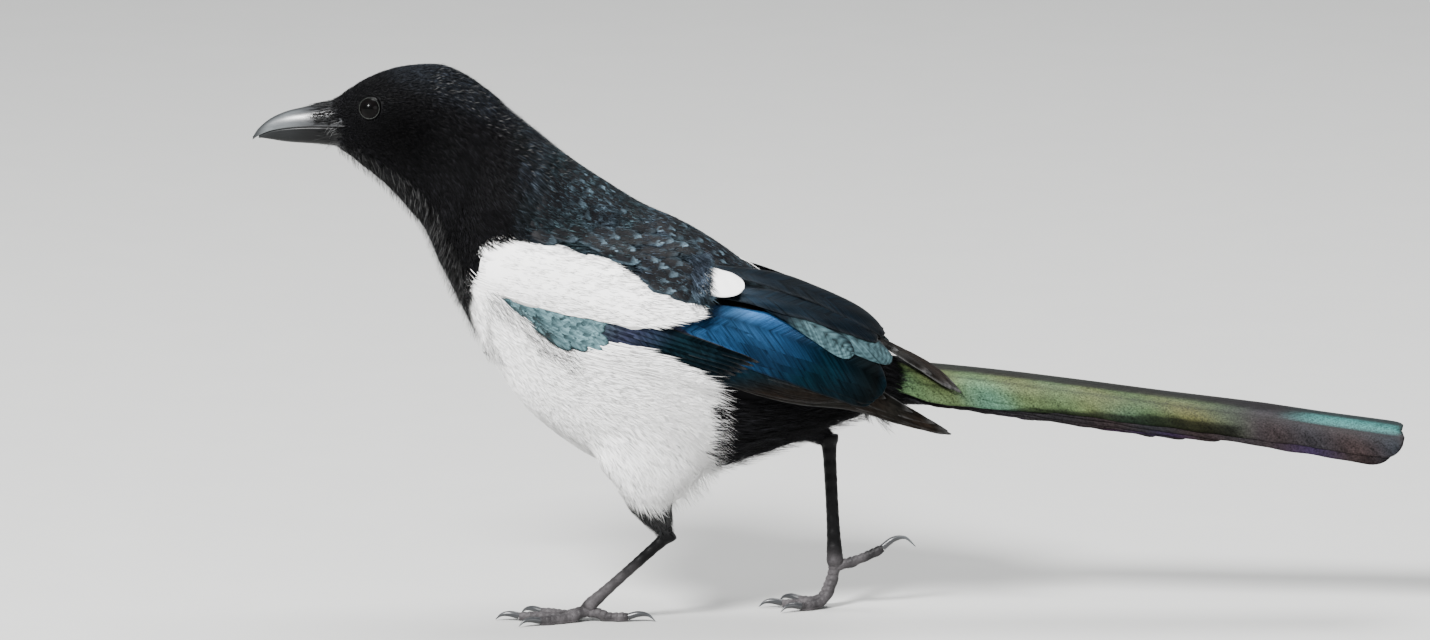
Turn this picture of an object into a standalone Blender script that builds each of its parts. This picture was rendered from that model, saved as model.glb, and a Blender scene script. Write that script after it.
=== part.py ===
"""A Eurasian magpie at life size, walking: near leg planted in front, far leg pushing off behind.

The bird faces -X and its left side faces -Y. +Z is up, the floor is z = 0, and the origin lies on the
floor half way between the tip of the bill and the tip of the tail. Every size is in metres.

The body is one smooth form carried along ribs, and thin cuts part it into head, neck, mantle, belly and
rump. A wing or a tail is a curved guide surface that feathers are laid on, tier over tier, and fused.
"""

import itertools
import math

import bmesh
import bpy
import numpy as np
from mathutils import Vector

MM = 0.001
GAP = 0.3 * MM

# Each rib stands across the body between an upper and a lower point of its side outline, in mm:
# upper x and z, lower x and z, half width, height of the widest place as a share, and squareness.
RIBS_MM = {
    "bill base": (-185.9, 196.8, -185.9, 179.0, 7.8, 0.50, 2.1),
    "forehead": (-179.1, 201.7, -179.8, 175.5, 11.0, 0.50, 2.1),
    "eyes": (-171.6, 206.0, -173.8, 170.6, 14.2, 0.52, 2.1),
    "ears": (-162.9, 209.1, -167.1, 165.3, 16.4, 0.54, 2.1),
    "crown": (-153.6, 210.4, -161.1, 159.2, 17.6, 0.54, 2.1),
    "back of head": (-144.2, 210.0, -155.4, 152.7, 18.0, 0.52, 2.0),
    "nape": (-135.6, 206.2, -150.9, 147.0, 18.4, 0.50, 2.0),
    "throat": (-127.3, 200.3, -147.6, 139.7, 19.4, 0.50, 2.0),
    "neck": (-117.6, 191.9, -143.8, 130.2, 21.4, 0.48, 2.0),
    "collar": (-108.2, 184.3, -138.9, 120.3, 24.2, 0.47, 2.0),
    "shoulders": (-97.3, 175.2, -132.9, 108.1, 27.6, 0.46, 2.0),
    "breast": (-84.9, 166.8, -124.7, 93.7, 30.8, 0.46, 2.0),
    "upper belly": (-70.3, 157.6, -113.1, 78.1, 33.0, 0.46, 2.1),
    "belly": (-55.6, 151.0, -98.1, 66.0, 34.2, 0.46, 2.1),
    "lower belly": (-41.9, 142.8, -82.3, 57.5, 34.0, 0.46, 2.1),
    "thighs": (-27.5, 132.0, -61.7, 54.5, 32.0, 0.47, 2.1),
    "vent": (-12.5, 119.5, -41.1, 57.5, 27.5, 0.48, 2.1),
    "rump": (1.0, 110.5, -20.0, 65.0, 21.5, 0.50, 2.1),
    "tail coverts": (14.5, 102.8, 14.0, 77.6, 14.6, 0.52, 2.0),
}
RIBS = np.array(list(RIBS_MM.values()))
RIBS[:, :5] *= MM
LAST_RIB = len(RIBS) - 1
BODY_SIDES = 28
WALL_REACH = 100 * MM

# Side-view lines, in mm, along which thin cuts part the body.
CUTS_MM = {
    "head from neck": ((-133.0, 225.0), (-158.0, 135.0)),
    "neck from mantle": ((-88.0, 190.0), (-119.0, 138.6)),
    "belly from neck and mantle": (
        (-134.5, 85.0),
        (-133.5, 101.0),
        (-136.5, 118.0),
        (-130.5, 134.0),
        (-119.0, 138.5),
        (-38.0, 112.0),
    ),
    "rump from mantle and belly": ((-20.0, 150.0), (-38.0, 112.2), (-43.0, 30.0)),
}
# A point near the middle of each body node in the side view, in mm, which tells the parted forms apart.
BODY_PLACES_MM = {
    "head": (-170, 190),
    "neck": (-130, 165),
    "mantle": (-70, 145),
    "belly": (-85, 95),
    "rump": (-10, 90),
}

EYE_CENTRE = Vector((-172.0, 10.4, 195.6)) * MM
EYE_RADIUS = 4.8 * MM
EYE_FACING = (-0.28, 1.0, 0.12)
LID_RADIUS = 4.1 * MM
LID_THICKNESS = 0.75 * MM
LID_OUT = 2.55 * MM

# The gape runs back from the corner of the bill, in mm: where it starts, its way in the side view, and
# how far along that way and how far out from the start it lies.
GAPE_START_MM = (-187.0, 10.6, 187.0)
GAPE_WAY = (9.5, 0.0, -2.4)
GAPE_COURSE_MM = ((0, -2.4), (5, -0.2), (10, 1.9))
GAPE_RADII = (2.1 * MM, 2.1 * MM, 0.8 * MM)
GAPE_FLATNESS = 0.22

# The bill from its tip to its base, in mm: x, ridge of the upper half, mouth line, keel of the lower
# half, half width.
BILL_MM = (
    (-215.8, 182.2, 181.2, 180.9, 0.35),
    (-213.4, 185.6, 182.9, 182.1, 1.3),
    (-209.0, 189.2, 184.9, 181.6, 2.7),
    (-203.0, 191.9, 186.2, 180.7, 4.2),
    (-196.0, 193.6, 186.9, 180.2, 5.5),
    (-190.5, 194.9, 187.1, 179.9, 6.5),
    (-186.2, 195.9, 187.1, 179.5, 7.2),
)
LOWER_BILL_TIP_X = -213.5 * MM
LOWER_BILL_INSET = 0.94
LEAST_KEEL_DEPTH = 0.4 * MM
BILL_ARCH_SIDES = 9
# Powers under 1 make the arch squarer, powers over 1 make it more pointed: (across, upward).
UPPER_ARCH = (0.85, 1.05)
LOWER_ARCH = (0.80, 0.90)

# Wing guides, in mm as x, distance out from the midline and z: the upper edge, the middle and the lower
# edge of the folded wing, each from the wrist to its tips. The far wing's tips cross over the tail.
NEAR_GUIDES_MM = (
    (
        (-124, 24, 142), (-96, 29, 143), (-60, 24, 138), (-20, 8.5, 127.5),
        (8, 5, 114.5), (24, 3.5, 101.0), (50, 2, 79),
    ),
    (
        (-124, 26, 133), (-97, 33.5, 129), (-60, 37.5, 120.5), (-20, 35, 110),
        (8, 28.5, 100), (24, 22, 91), (48, 13, 76),
    ),
    (
        (-124, 25, 122), (-95, 33, 109.5), (-60, 36, 99.5), (-20, 33.5, 88.3),
        (8, 28.8, 83.8), (25.5, 25, 77.2), (47, 20.8, 71.2),
    ),
)
FAR_GUIDES_MM = (
    (
        (-124, 24, 142), (-96, 29, 143), (-60, 24, 137), (-20, 9, 126),
        (8, 6, 113.5), (23, 4, 102), (46, 3, 84),
    ),
    (
        (-124, 26, 133), (-97, 33.5, 129), (-60, 37.5, 121.5), (-20, 34, 112.5),
        (8, 26, 104), (23, 18, 96), (46, 10, 84),
    ),
    (
        (-124, 25, 122), (-95, 33, 111), (-60, 36, 102), (-20, 33, 95),
        (8, 27, 93), (25, 20, 88), (46, 14, 82),
    ),
)
FAR_TIP_GUIDES_MM = (
    (
        (-124, 25, 128), (-95, 33, 118), (-60, 34, 112), (-20, 26, 113),
        (8, 12.5, 109), (26, -3.5, 98.4), (46, -16, 83.4),
    ),
    (
        (-124, 25, 125), (-95, 33, 114), (-60, 35, 107), (-20, 28, 108),
        (8, 16.5, 106.3), (29, 0, 99.6), (50, -13, 86),
    ),
    (
        (-124, 25, 122), (-95, 33, 110), (-60, 35, 103), (-20, 29.5, 103),
        (8, 19.5, 103), (32, 3.5, 99.2), (53, -10, 88.2),
    ),
)
VANE_THICKNESS = 0.7 * MM
CORE_THICKNESS = 4.0 * MM
CORE_REACH = ((-0.02, 0.70), (0.05, 0.93))
STATION_STEP = 1 / 7
SURFACE_STEP = 0.01

# How wide a feather is along its length, as pairs of share of length and share of its half width.
ROUND_OUTLINE = ((0.0, 0.66), (0.32, 0.95), (0.66, 1.0), (0.88, 0.72), (1.0, 0.22))
POINTED_OUTLINE = ((0.0, 0.90), (0.32, 1.0), (0.66, 0.82), (0.88, 0.45), (1.0, 0.10))
SHOULDER_STATION = 0.89
MARKS_USED = (0.08, 0.80)
ROOT_SINK = 1.0 * MM
ROOT_SINK_SHARE = 0.12
FRONT_SINK = 4.0 * MM
FRONT_SINK_ALONG = (-0.05, 0.10)
RACHIS_RISE = 0.12 * MM

# Each tier of a wing: how many feathers, then for its lowest and its highest feather where the root and
# the tip lie along (0 wrist, 1 tips) and across (0 upper edge, 1 lower edge) the wing, how much farther
# the middle feathers reach, the half width in mm, how far it lies over the guide surface in mm, and how
# round its tip is.
WING_TIERS = {
    "primaries": (
        6,
        (0.36, 0.95, 0.78, 1.0),
        (0.42, 0.60, 0.80, 0.70),
        0.20,
        (4.2, 5.4),
        (-2.0, -0.5),
        0.3,
    ),
    "secondaries": (
        6,
        (0.34, 0.78, 0.775, 0.83),
        (0.36, 0.34, 0.79, 0.50),
        0.015,
        (6.4, 7.4),
        (-0.2, 1.3),
        1.0,
    ),
    "tertials": (
        3,
        (0.46, 0.32, 0.825, 0.33),
        (0.47, 0.12, 0.82, 0.10),
        0.0,
        (7.6, 7.0),
        (1.6, 2.5),
        1.0,
    ),
    "alula": (
        2,
        (0.16, 0.92, 0.40, 0.98),
        (0.18, 0.86, 0.38, 0.93),
        0.0,
        (3.2, 3.8),
        (0.2, 0.6),
        0.4,
    ),
    "primary coverts": (
        4,
        (0.22, 0.90, 0.55, 0.97),
        (0.24, 0.70, 0.58, 0.80),
        0.0,
        (4.8, 5.6),
        (0.1, 1.2),
        0.4,
    ),
    "greater coverts": (
        3,
        (0.22, 0.66, 0.50, 0.70),
        (0.26, 0.34, 0.56, 0.43),
        0.0,
        (7.6, 8.2),
        (0.7, 1.6),
        0.9,
    ),
    "median coverts": (
        3,
        (0.08, 0.84, 0.30, 0.84),
        (0.08, 0.42, 0.34, 0.46),
        0.0,
        (7.6, 7.6),
        (0.5, 0.9),
        1.0,
    ),
}
FAR_PRIMARIES = (
    5,
    (0.40, 0.90, 0.80, 0.92),
    (0.44, 0.20, 0.82, 0.20),
    0.18,
    (4.2, 4.6),
    (-0.5, 0.9),
    0.3,
)
SCAPULAR_TIERS = {
    "lower scapulars": (
        4,
        (-0.05, 0.52, 0.22, 0.56),
        (0.04, 0.26, 0.40, 0.34),
        0.03,
        (7.4, 6.2),
        (1.9, 2.7),
        0.9,
    ),
    "upper scapulars": (
        3,
        (-0.06, 0.26, 0.22, 0.30),
        (0.16, 0.08, 0.46, 0.17),
        0.0,
        (7.4, 6.4),
        (2.7, 3.3),
        0.9,
    ),
}
SCAPULAR_REACH = ((-0.05, 0.34), (0.0, 0.50))
SCAPULAR_FIELD = ((-0.12, 0.45), (-0.12, 0.66))
SCAPULAR_CORE = 1.3 * MM
SCAPULAR_FLOOR = 1.5 * MM
FIELD_DEPTH = 10 * MM
# Behind this the far wing's tips may cross the body's middle plane.
MIDLINE_END_X = 24.2 * MM
FAR_REACH = 200 * MM

# The tail's ridge from root to tip, in mm as x and z, and how far its near side is rolled down.
TAIL_RIDGE_MM = ((16.0, 98.4), (36.0, 94.2), (101.0, 86.3), (165.0, 78.1), (215.8, 70.8))
TAIL_ROLL = math.radians(20)
TAIL_ARCH_RADIUS = 24 * MM
TAIL_RIDGE_SLOPE = 0.12
TAIL_ROOT_X = 16.6 * MM
TAIL_FEATHER_ROOT_X = 18.1 * MM
TAIL_FORM_STATIONS_MM = (16.6, 36, 60, 101, 165, 217)
TAIL_FORM_REACHES_MM = (-21, -17.5, -14, -10.5, -7, -3.5, 0, 3.5, 7, 10.5, 14, 17.5, 21)
TAIL_FORM_DEPTH = 4 * MM
# Tail feather pairs from the innermost to the outermost, in mm: tip x, centre line's distance from the
# ridge at the root and at the tip, half width.
TAIL_PAIRS_MM = (
    (215.8, 3.5, 5.0, 10.5),
    (212.0, 4.0, 10.0, 9.0),
    (150.5, 5.5, 8.8, 9.5),
    (138.0, 6.5, 9.4, 9.2),
    (126.5, 7.5, 10.0, 8.8),
    (80.0, 8.5, 10.5, 7.6),
)
TAIL_OUTLINE = ((0, 0.66), (0.15, 0.82), (0.4, 0.97), (0.7, 1.0), (0.9, 0.96), (0.97, 0.70), (1.0, 0.25))
TAIL_LAYER_STEP = 0.6 * MM
TAIL_VANE_THICKNESS = 0.65 * MM
# The rear coverts that hold the tail feathers, in mm: x, half width, top, bottom.
TAIL_CORE_MM = (
    (14.9, 14.2, 102.2, 78.0),
    (24.0, 13.6, 98.2, 79.4),
    (36.0, 12.6, 94.0, 81.0),
    (52.0, 11.8, 91.6, 83.2),
    (70.0, 10.4, 89.2, 84.6),
    (88.0, 7.6, 86.8, 84.6),
)
TAIL_CORE_SIDES = 14

# Legs: side is -1 for the near left leg and 1 for the far right leg. The thigh's sections run from inside
# the body to the heel, in mm: centre x, distance out, z, then the half sizes along and across the body.
LEGS = {
    "left": {
        "side": -1,
        "thigh": (
            (-66.0, 14.0, 82, 18, 10),
            (-66.0, 15.5, 70, 21, 13),
            (-66.4, 16.5, 59, 19.5, 13),
            (-66.6, 17, 52.5, 14.4, 11.4),
            (-66.6, 17, 47.0, 9.6, 8.6),
            (-65.0, 17, 42.0, 6.6, 6.2),
            (-62.6, 17, 37.2, 4.4, 4.2),
            (-61.2, 17, 34.0, 3.4, 3.2),
        ),
        "heel": (-61.0, 17, 33.4),
        "ankle": (-90.5, 11.5, 5.6),
    },
    "right": {
        "side": 1,
        "thigh": (
            (-52, 14, 84, 24, 12),
            (-38, 15, 76, 20, 13),
            (-26, 16, 72, 14, 11.5),
            (-15, 16.5, 70.5, 8.4, 8.0),
            (-7, 16.5, 68.3, 5.4, 5.2),
            (-0.5, 16, 64.6, 3.4, 3.2),
        ),
        "heel": (0.0, 16, 63.6),
        "ankle": (2.4, 15, 17.2),
    },
}
HEEL_RADIUS = 3.1 * MM
# The shank's radii at the heel, 4 mm under it, at two shares of the way to the foot, and at the foot.
SHANK_RADII_MM = (2.7, 2.3, 2.0, 2.0, 2.2)
HEEL_LENGTH = 4.0 * MM
SHANK_SHARES = (0.35, 0.75)
# The foot's stem from above the ankle to below it: distance down along the shank, and radius, in mm.
ANKLE_MM = ((-4.0, 2.2), (-1.5, 2.7), (1.2, 2.16))

TOE_ROOT_STEP = 0.35 * MM
TOE_STATIONS = (0, 1, 1.6, 2.3, 3.0, 3.5, 4)
TOE_RADII_MM = (2.3, 2.0, 2.05, 1.75, 1.95, 1.7, 1.45)
CLAW_STATIONS = (0, 0.9, 1.8, 2.5, 3)
CLAW_RADII_MM = (1.25, 1.15, 0.85, 0.5, 0.25)

# Toes as routes from the ankle, in mm as x and z along the toe's own vertical plane, and the heading of
# that plane away from straight ahead. The last pair of points is the claw.
FLAT_TOE = ((0, 5.0), (4, 2.9), (9, 1.7), (16, 1.7), (20, 1.7))
MIDDLE_FLAT_TOE = ((0, 5.0), (5, 2.9), (11, 1.7), (20, 1.7), (26, 1.7))
HIND_FLAT_TOE = ((0, 5.0), (4, 2.9), (8, 1.7), (13, 1.7), (15, 1.7))
PUSHING_TOE = ((0, 17.2), (1.0, 11.0), (4.0, 4.2), (9.5, 1.7), (15, 1.7))
MIDDLE_PUSHING_TOE = ((0, 17.2), (1.5, 11.0), (5.0, 4.2), (12.0, 1.7), (20, 1.7))
HIND_LIFTED_TOE = ((0, 17.2), (5, 17.0), (10, 18.8), (15, 21.0), (18, 22.6))
CLAW_FLAT = ((0, 0.2), (3.6, 0.9), (6.6, 0.5), (8.8, -1.25))
CLAW_HIND_FLAT = ((0, 0.2), (4.0, 1.3), (7.6, 0.9), (10.2, -1.2))
CLAW_LIFTED = ((0, 0.4), (4.0, 3.4), (8.4, 4.0), (12.4, 0.6))
TOES = {
    "left": {
        "inner": (28, FLAT_TOE, CLAW_FLAT),
        "middle": (2, MIDDLE_FLAT_TOE, CLAW_FLAT),
        "outer": (-26, FLAT_TOE, CLAW_FLAT),
        "hind": (184, HIND_FLAT_TOE, CLAW_HIND_FLAT),
    },
    "right": {
        "inner": (30, PUSHING_TOE, CLAW_FLAT),
        "middle": (2, MIDDLE_PUSHING_TOE, CLAW_FLAT),
        "outer": (-28, PUSHING_TOE, CLAW_FLAT),
        "hind": (182, HIND_LIFTED_TOE, CLAW_LIFTED),
    },
}

BLACK = ("black_feather", (0.012, 0.012, 0.016), 0.45)
WHITE = ("white_feather", (0.86, 0.86, 0.85), 0.75)
WING_BLUE = ("wing_feather", (0.02, 0.06, 0.13), 0.32)
TAIL_GREEN = ("tail_feather", (0.05, 0.08, 0.05), 0.38)
HORN = ("bill_and_claw_horn", (0.05, 0.05, 0.055), 0.28)
SCALE = ("leg_scale", (0.035, 0.033, 0.035), 0.45)
EYE = ("eye", (0.02, 0.012, 0.008), 0.05)

SHARP_ANGLE = math.radians(38)
MERGE_DISTANCES = (0.003 * MM, 0.0015 * MM, 0.0)
LEVEL_ANGLES = tuple(math.radians(degrees) for degrees in (3.0, 2.0, 1.5, 1.0, 0.5))


def material(finish):
    """A plain Principled material from a name, a colour and a roughness."""
    name, colour, roughness = finish
    found = bpy.data.materials.get(name) or bpy.data.materials.new(name)
    found.use_nodes = True
    shader = found.node_tree.nodes["Principled BSDF"]
    shader.inputs["Base Color"].default_value = (*colour, 1.0)
    shader.inputs["Roughness"].default_value = roughness
    shader.inputs["Metallic"].default_value = 0.0
    return found


def collection(name):
    """The collection of that name, made on first use."""
    found = bpy.data.collections.get(name)
    if not found:
        found = bpy.data.collections.new(name)
        bpy.context.scene.collection.children.link(found)
    return found


def add_object(name, work):
    """A working object made from the bmesh work, which is used up."""
    mesh = bpy.data.meshes.new(name)
    work.to_mesh(mesh)
    work.free()
    found = bpy.data.objects.new(name, mesh)
    collection("working").objects.link(found)
    return found


def add_mesh(name, points, faces):
    """A closed mesh object whose faces point outwards."""
    mesh = bpy.data.meshes.new("points")
    mesh.from_pydata([tuple(p) for p in points], [], [tuple(f) for f in faces])
    work = bmesh.new()
    work.from_mesh(mesh)
    bpy.data.meshes.remove(mesh)
    bmesh.ops.recalc_face_normals(work, faces=work.faces)
    return add_object(name, work)


def remove(found):
    """Takes an object and its mesh out of the file."""
    mesh = found.data
    bpy.data.objects.remove(found)
    bpy.data.meshes.remove(mesh)


def apply_modifiers(found):
    """Puts what the modifiers make into the object's own mesh."""
    bpy.context.view_layer.update()
    graph = bpy.context.evaluated_depsgraph_get()
    mesh = bpy.data.meshes.new_from_object(found.evaluated_get(graph))
    old = found.data
    found.modifiers.clear()
    found.data = mesh
    bpy.data.meshes.remove(old)


def boolean(found, operation, others, solver="EXACT"):
    """Joins or cuts found with the closed meshes in others, which are used up."""
    group = bpy.data.collections.new("operands")
    bpy.context.scene.collection.children.link(group)
    for other in others:
        for home in list(other.users_collection):
            home.objects.unlink(other)
        group.objects.link(other)
    step = found.modifiers.new("boolean", "BOOLEAN")
    step.operation = operation
    step.operand_type = "COLLECTION"
    step.collection = group
    step.solver = solver
    apply_modifiers(found)
    for other in list(others):
        remove(other)
    bpy.data.collections.remove(group)


def loose_bodies(found):
    """The mesh's separate surfaces as lists of vertex indices, largest volume first."""
    work = bmesh.new()
    work.from_mesh(found.data)
    work.verts.ensure_lookup_table()
    seen = set()
    bodies = []
    for start in work.verts:
        if start.index in seen:
            continue
        stack = [start]
        seen.add(start.index)
        members = []
        while stack:
            vert = stack.pop()
            members.append(vert.index)
            for edge in vert.link_edges:
                other = edge.other_vert(vert)
                if other.index not in seen:
                    seen.add(other.index)
                    stack.append(other)
        bodies.append(members)
    work.free()
    points = np.array([v.co for v in found.data.vertices])
    spans = [np.prod(np.ptp(points[m], axis=0) + 1e-9) for m in bodies]
    return [bodies[i] for i in np.argsort(spans)[::-1]]


def keep_body(found, members):
    """Keeps only the vertices in members."""
    wanted = set(members)
    work = bmesh.new()
    work.from_mesh(found.data)
    work.verts.ensure_lookup_table()
    unwanted = [v for v in work.verts if v.index not in wanted]
    bmesh.ops.delete(work, geom=unwanted, context="VERTS")
    work.to_mesh(found.data)
    work.free()


def keep_largest(found):
    """Keeps the largest closed surface, which fills sealed hollows and drops scraps."""
    bodies = loose_bodies(found)
    if len(bodies) > 1:
        keep_body(found, bodies[0])


def closed(work):
    """Whether every edge joins exactly two faces."""
    return all(len(edge.link_faces) == 2 for edge in work.edges)


def simplify(found):
    """Merges faces that lie level with each other, as far as the surface stays closed, and splits the
    result into triangles."""
    for merge, angle in itertools.product(MERGE_DISTANCES, LEVEL_ANGLES):
        work = bmesh.new()
        work.from_mesh(found.data)
        bmesh.ops.remove_doubles(work, verts=work.verts, dist=merge)
        bmesh.ops.dissolve_limit(work, angle_limit=angle, verts=work.verts, edges=work.edges)
        bmesh.ops.triangulate(work, faces=work.faces)
        short = [e for e in work.edges if e.calc_length() < merge]
        if short:
            bmesh.ops.collapse(work, edges=short)
        done = closed(work)
        if done:
            work.to_mesh(found.data)
        work.free()
        if done:
            return


def finish_node(found, name, look):
    """Names a finished node, gives it its material and puts it among the bird's pieces."""
    found.name = name
    found.data.name = name
    found.data.materials.clear()
    found.data.materials.append(material(look))
    for home in list(found.users_collection):
        home.objects.unlink(found)
    collection("eurasian_magpie").objects.link(found)
    found.data.shade_smooth()
    found.data.set_sharp_from_angle(angle=SHARP_ANGLE)
    return found


def spline(rows, t):
    """Rows of values read at t (0 for the first row), along a smooth Catmull-Rom curve."""
    rows = np.asarray(rows, float)
    last = len(rows) - 1
    t = min(max(t, 0.0), float(last))
    i = min(int(t), last - 1)
    u = t - i
    before = rows[max(i - 1, 0)]
    a, b = rows[i], rows[i + 1]
    after = rows[min(i + 2, last)]
    start, end = (b - before) / 2, (after - a) / 2
    if i == 0:
        start = b - a
    if i == last - 1:
        end = b - a
    return (
        (2 * u**3 - 3 * u**2 + 1) * a
        + (u**3 - 2 * u**2 + u) * start
        + (3 * u**2 - 2 * u**3) * b
        + (u**3 - u**2) * end
    )


def loft(name, rings):
    """A closed form through rings of equally many points, with flat ends."""
    rings = np.asarray(rings)
    count, sides = rings.shape[:2]
    faces = [
        (i * sides + j, i * sides + (j + 1) % sides, (i + 1) * sides + (j + 1) % sides, (i + 1) * sides + j)
        for i in range(count - 1)
        for j in range(sides)
    ]
    faces.append(tuple(range(sides)))
    faces.append(tuple((count - 1) * sides + j for j in range(sides)))
    return add_mesh(name, rings.reshape(-1, 3), faces)


def body_ring(t, swell):
    """The body's outline across rib t: a squared ellipse, grown by swell on every side."""
    top_x, top_z, low_x, low_z, half, waist, square = spline(RIBS, t)
    up = np.array([top_x - low_x, 0.0, top_z - low_z])
    height = np.linalg.norm(up)
    up /= height
    middle = np.array([low_x, 0.0, low_z]) + up * height * waist
    ring = []
    for i in range(BODY_SIDES):
        angle = 2 * math.pi * i / BODY_SIDES
        c, s = math.cos(angle), math.sin(angle)
        reach = height * ((1 - waist) if c > 0 else waist) + swell
        ring.append(
            middle
            + up * math.copysign(abs(c) ** (2 / square), c) * reach
            + np.array([0, 1.0, 0]) * math.copysign(abs(s) ** (2 / square), s) * (half + swell)
        )
    return ring


def body_form(name, swell=0.0):
    """The whole body from bill base to tail coverts, grown sideways by swell."""
    return loft(name, [body_ring(t, swell) for t in range(LAST_RIB + 1)])


def upright_slab(name, line_mm, thickness=GAP):
    """A thin wall that stands across the whole body along a line of the side view."""
    line = np.array(line_mm) * MM
    ways = np.diff(line, axis=0)
    ways /= np.linalg.norm(ways, axis=1)[:, None]
    at_points = np.vstack([ways[:1], (ways[:-1] + ways[1:]) / 2, ways[-1:]])
    normals = np.stack([-at_points[:, 1], at_points[:, 0]], axis=1)
    normals /= np.linalg.norm(normals, axis=1)[:, None]
    rings = []
    for point, normal in zip(line, normals):
        front, back = point + normal * thickness / 2, point - normal * thickness / 2
        ring = [(front[0], y, front[1]) for y in (-WALL_REACH, WALL_REACH)]
        ring += [(back[0], y, back[1]) for y in (WALL_REACH, -WALL_REACH)]
        rings.append(ring)
    return loft(name, rings)


def sphere(name, centre, radius, segments, rings):
    """A ball whose poles lie to the left and the right."""
    work = bmesh.new()
    bmesh.ops.create_uvsphere(work, u_segments=segments, v_segments=rings, radius=radius)
    tilt = Vector((0, 1, 0)).rotation_difference(Vector((0, 0, 1)))
    bmesh.ops.rotate(work, verts=work.verts, matrix=tilt.to_matrix())
    bmesh.ops.translate(work, verts=work.verts, vec=centre)
    return add_object(name, work)


def box(name, low, high):
    """A block between its lowest and its highest corner."""
    work = bmesh.new()
    bmesh.ops.create_cube(work, size=1.0)
    low, high = Vector(low), Vector(high)
    bmesh.ops.scale(work, verts=work.verts, vec=high - low)
    bmesh.ops.translate(work, verts=work.verts, vec=(low + high) / 2)
    return add_object(name, work)


def below_floor():
    """A block that fills the room under the floor."""
    return box("below floor", (-FAR_REACH, -FAR_REACH, -FAR_REACH), (FAR_REACH, FAR_REACH, 0))


def ring_round(name, centre, axis, radius, thickness, around=14, across=6):
    """A torus about axis, such as an eyelid's rim."""
    turn = Vector((0, 0, 1)).rotation_difference(axis)
    points = []
    for i in range(around):
        a = 2 * math.pi * i / around
        for j in range(across):
            b = 2 * math.pi * j / across
            reach = radius + thickness * math.cos(b)
            flat = Vector((reach * math.cos(a), reach * math.sin(a), thickness * math.sin(b)))
            points.append(centre + turn @ flat)
    faces = [
        (
            i * across + j,
            i * across + (j + 1) % across,
            (i + 1) % around * across + (j + 1) % across,
            (i + 1) % around * across + j,
        )
        for i in range(around)
        for j in range(across)
    ]
    return add_mesh(name, points, faces)


def oval(centre, first, second, sides):
    """Points round an oval whose half axes are the vectors first and second."""
    angles = [2 * math.pi * j / sides for j in range(sides)]
    return [centre + first * math.cos(a) + second * math.sin(a) for a in angles]


def tube(name, centres, radii, sides=8, flat=1.0):
    """A round bar through centres, its height squeezed by flat."""
    centres = [Vector(c) for c in centres]
    rings = []
    for i, centre in enumerate(centres):
        way = (centres[min(i + 1, len(centres) - 1)] - centres[max(i - 1, 0)]).normalized()
        side = way.cross(Vector((0, 0, 1)))
        if side.length < 0.05:
            side = way.cross(Vector((1, 0, 0)))
        side.normalize()
        lift = side.cross(way).normalized()
        rings.append(oval(centre, side * radii[i], lift * radii[i] * flat, sides))
    return loft(name, rings)


def build_body():
    """Head, neck, mantle, belly and rump: one form parted by thin cuts, told apart by where they lie."""
    whole = body_form("body")
    walls = [upright_slab(name, line) for name, line in CUTS_MM.items()]
    boolean(whole, "DIFFERENCE", walls)
    bodies = loose_bodies(whole)
    points = np.array([v.co for v in whole.data.vertices])
    parted = bodies[: len(BODY_PLACES_MM)]
    centres = [(points[m].min(0) + points[m].max(0)) / 2 for m in parted]
    nodes = {}
    for name, (x, z) in BODY_PLACES_MM.items():
        away = [math.hypot(c[0] - x * MM, c[2] - z * MM) for c in centres]
        part = bpy.data.objects.new(name, whole.data.copy())
        collection("working").objects.link(part)
        keep_body(part, parted[int(np.argmin(away))])
        nodes[name] = finish_node(part, name, WHITE if name == "belly" else BLACK)
    remove(whole)
    return nodes


def build_eyes(head):
    """Eyeballs in sockets with lid rims, and the slit of the gape behind the bill."""
    rims, cutters = [], []
    for side, word in ((-1, "left"), (1, "right")):
        mirror = Vector((1, side, 1))
        centre = EYE_CENTRE * mirror
        outward = (Vector(EYE_FACING) * mirror).normalized()
        rims.append(ring_round("lid", centre + outward * LID_OUT, outward, LID_RADIUS, LID_THICKNESS))
        cutters.append(sphere("socket", centre, EYE_RADIUS + GAP, 14, 8))
        eye = sphere("eye_" + word, centre, EYE_RADIUS, 14, 8)
        finish_node(eye, "eye_" + word, EYE)
        start = Vector(GAPE_START_MM) * mirror
        way = Vector(GAPE_WAY).normalized()
        course = [(start + way * d + Vector((0, side * out, 0))) * MM for d, out in GAPE_COURSE_MM]
        cutters.append(tube("gape", course, GAPE_RADII, 4, GAPE_FLATNESS))
    boolean(head, "UNION", rims)
    boolean(head, "DIFFERENCE", cutters)
    keep_largest(head)


def bill_arch(x, half, mouth, rise, powers):
    """An arch across the bill at x, from one edge of the mouth to the other, rise high at its crest."""
    points = []
    for j in range(BILL_ARCH_SIDES):
        angle = math.pi * j / (BILL_ARCH_SIDES - 1)
        c, s = math.cos(angle), math.sin(angle)
        y = half * math.copysign(abs(c) ** powers[0], c)
        points.append((x, y, mouth + rise * s ** powers[1]))
    return points


def build_bill():
    """Upper and lower halves, each an arch over or under the flat mouth line, with a hair gap between."""
    rows = np.array(BILL_MM) * MM
    upper, lower = [], []
    steps = 2 * (len(rows) - 1)
    for i in range(steps + 1):
        x, ridge, mouth, keel, half = spline(rows, i / 2)
        upper.append(bill_arch(x, half, mouth + GAP / 2, ridge - mouth, UPPER_ARCH))
        if x >= LOWER_BILL_TIP_X:
            depth = max(mouth - keel, LEAST_KEEL_DEPTH)
            lower.append(bill_arch(x, half * LOWER_BILL_INSET, mouth - GAP / 2, -depth, LOWER_ARCH))
    finish_node(loft("upper", upper), "upper_bill", HORN)
    finish_node(loft("lower", lower), "lower_bill", HORN)


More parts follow.
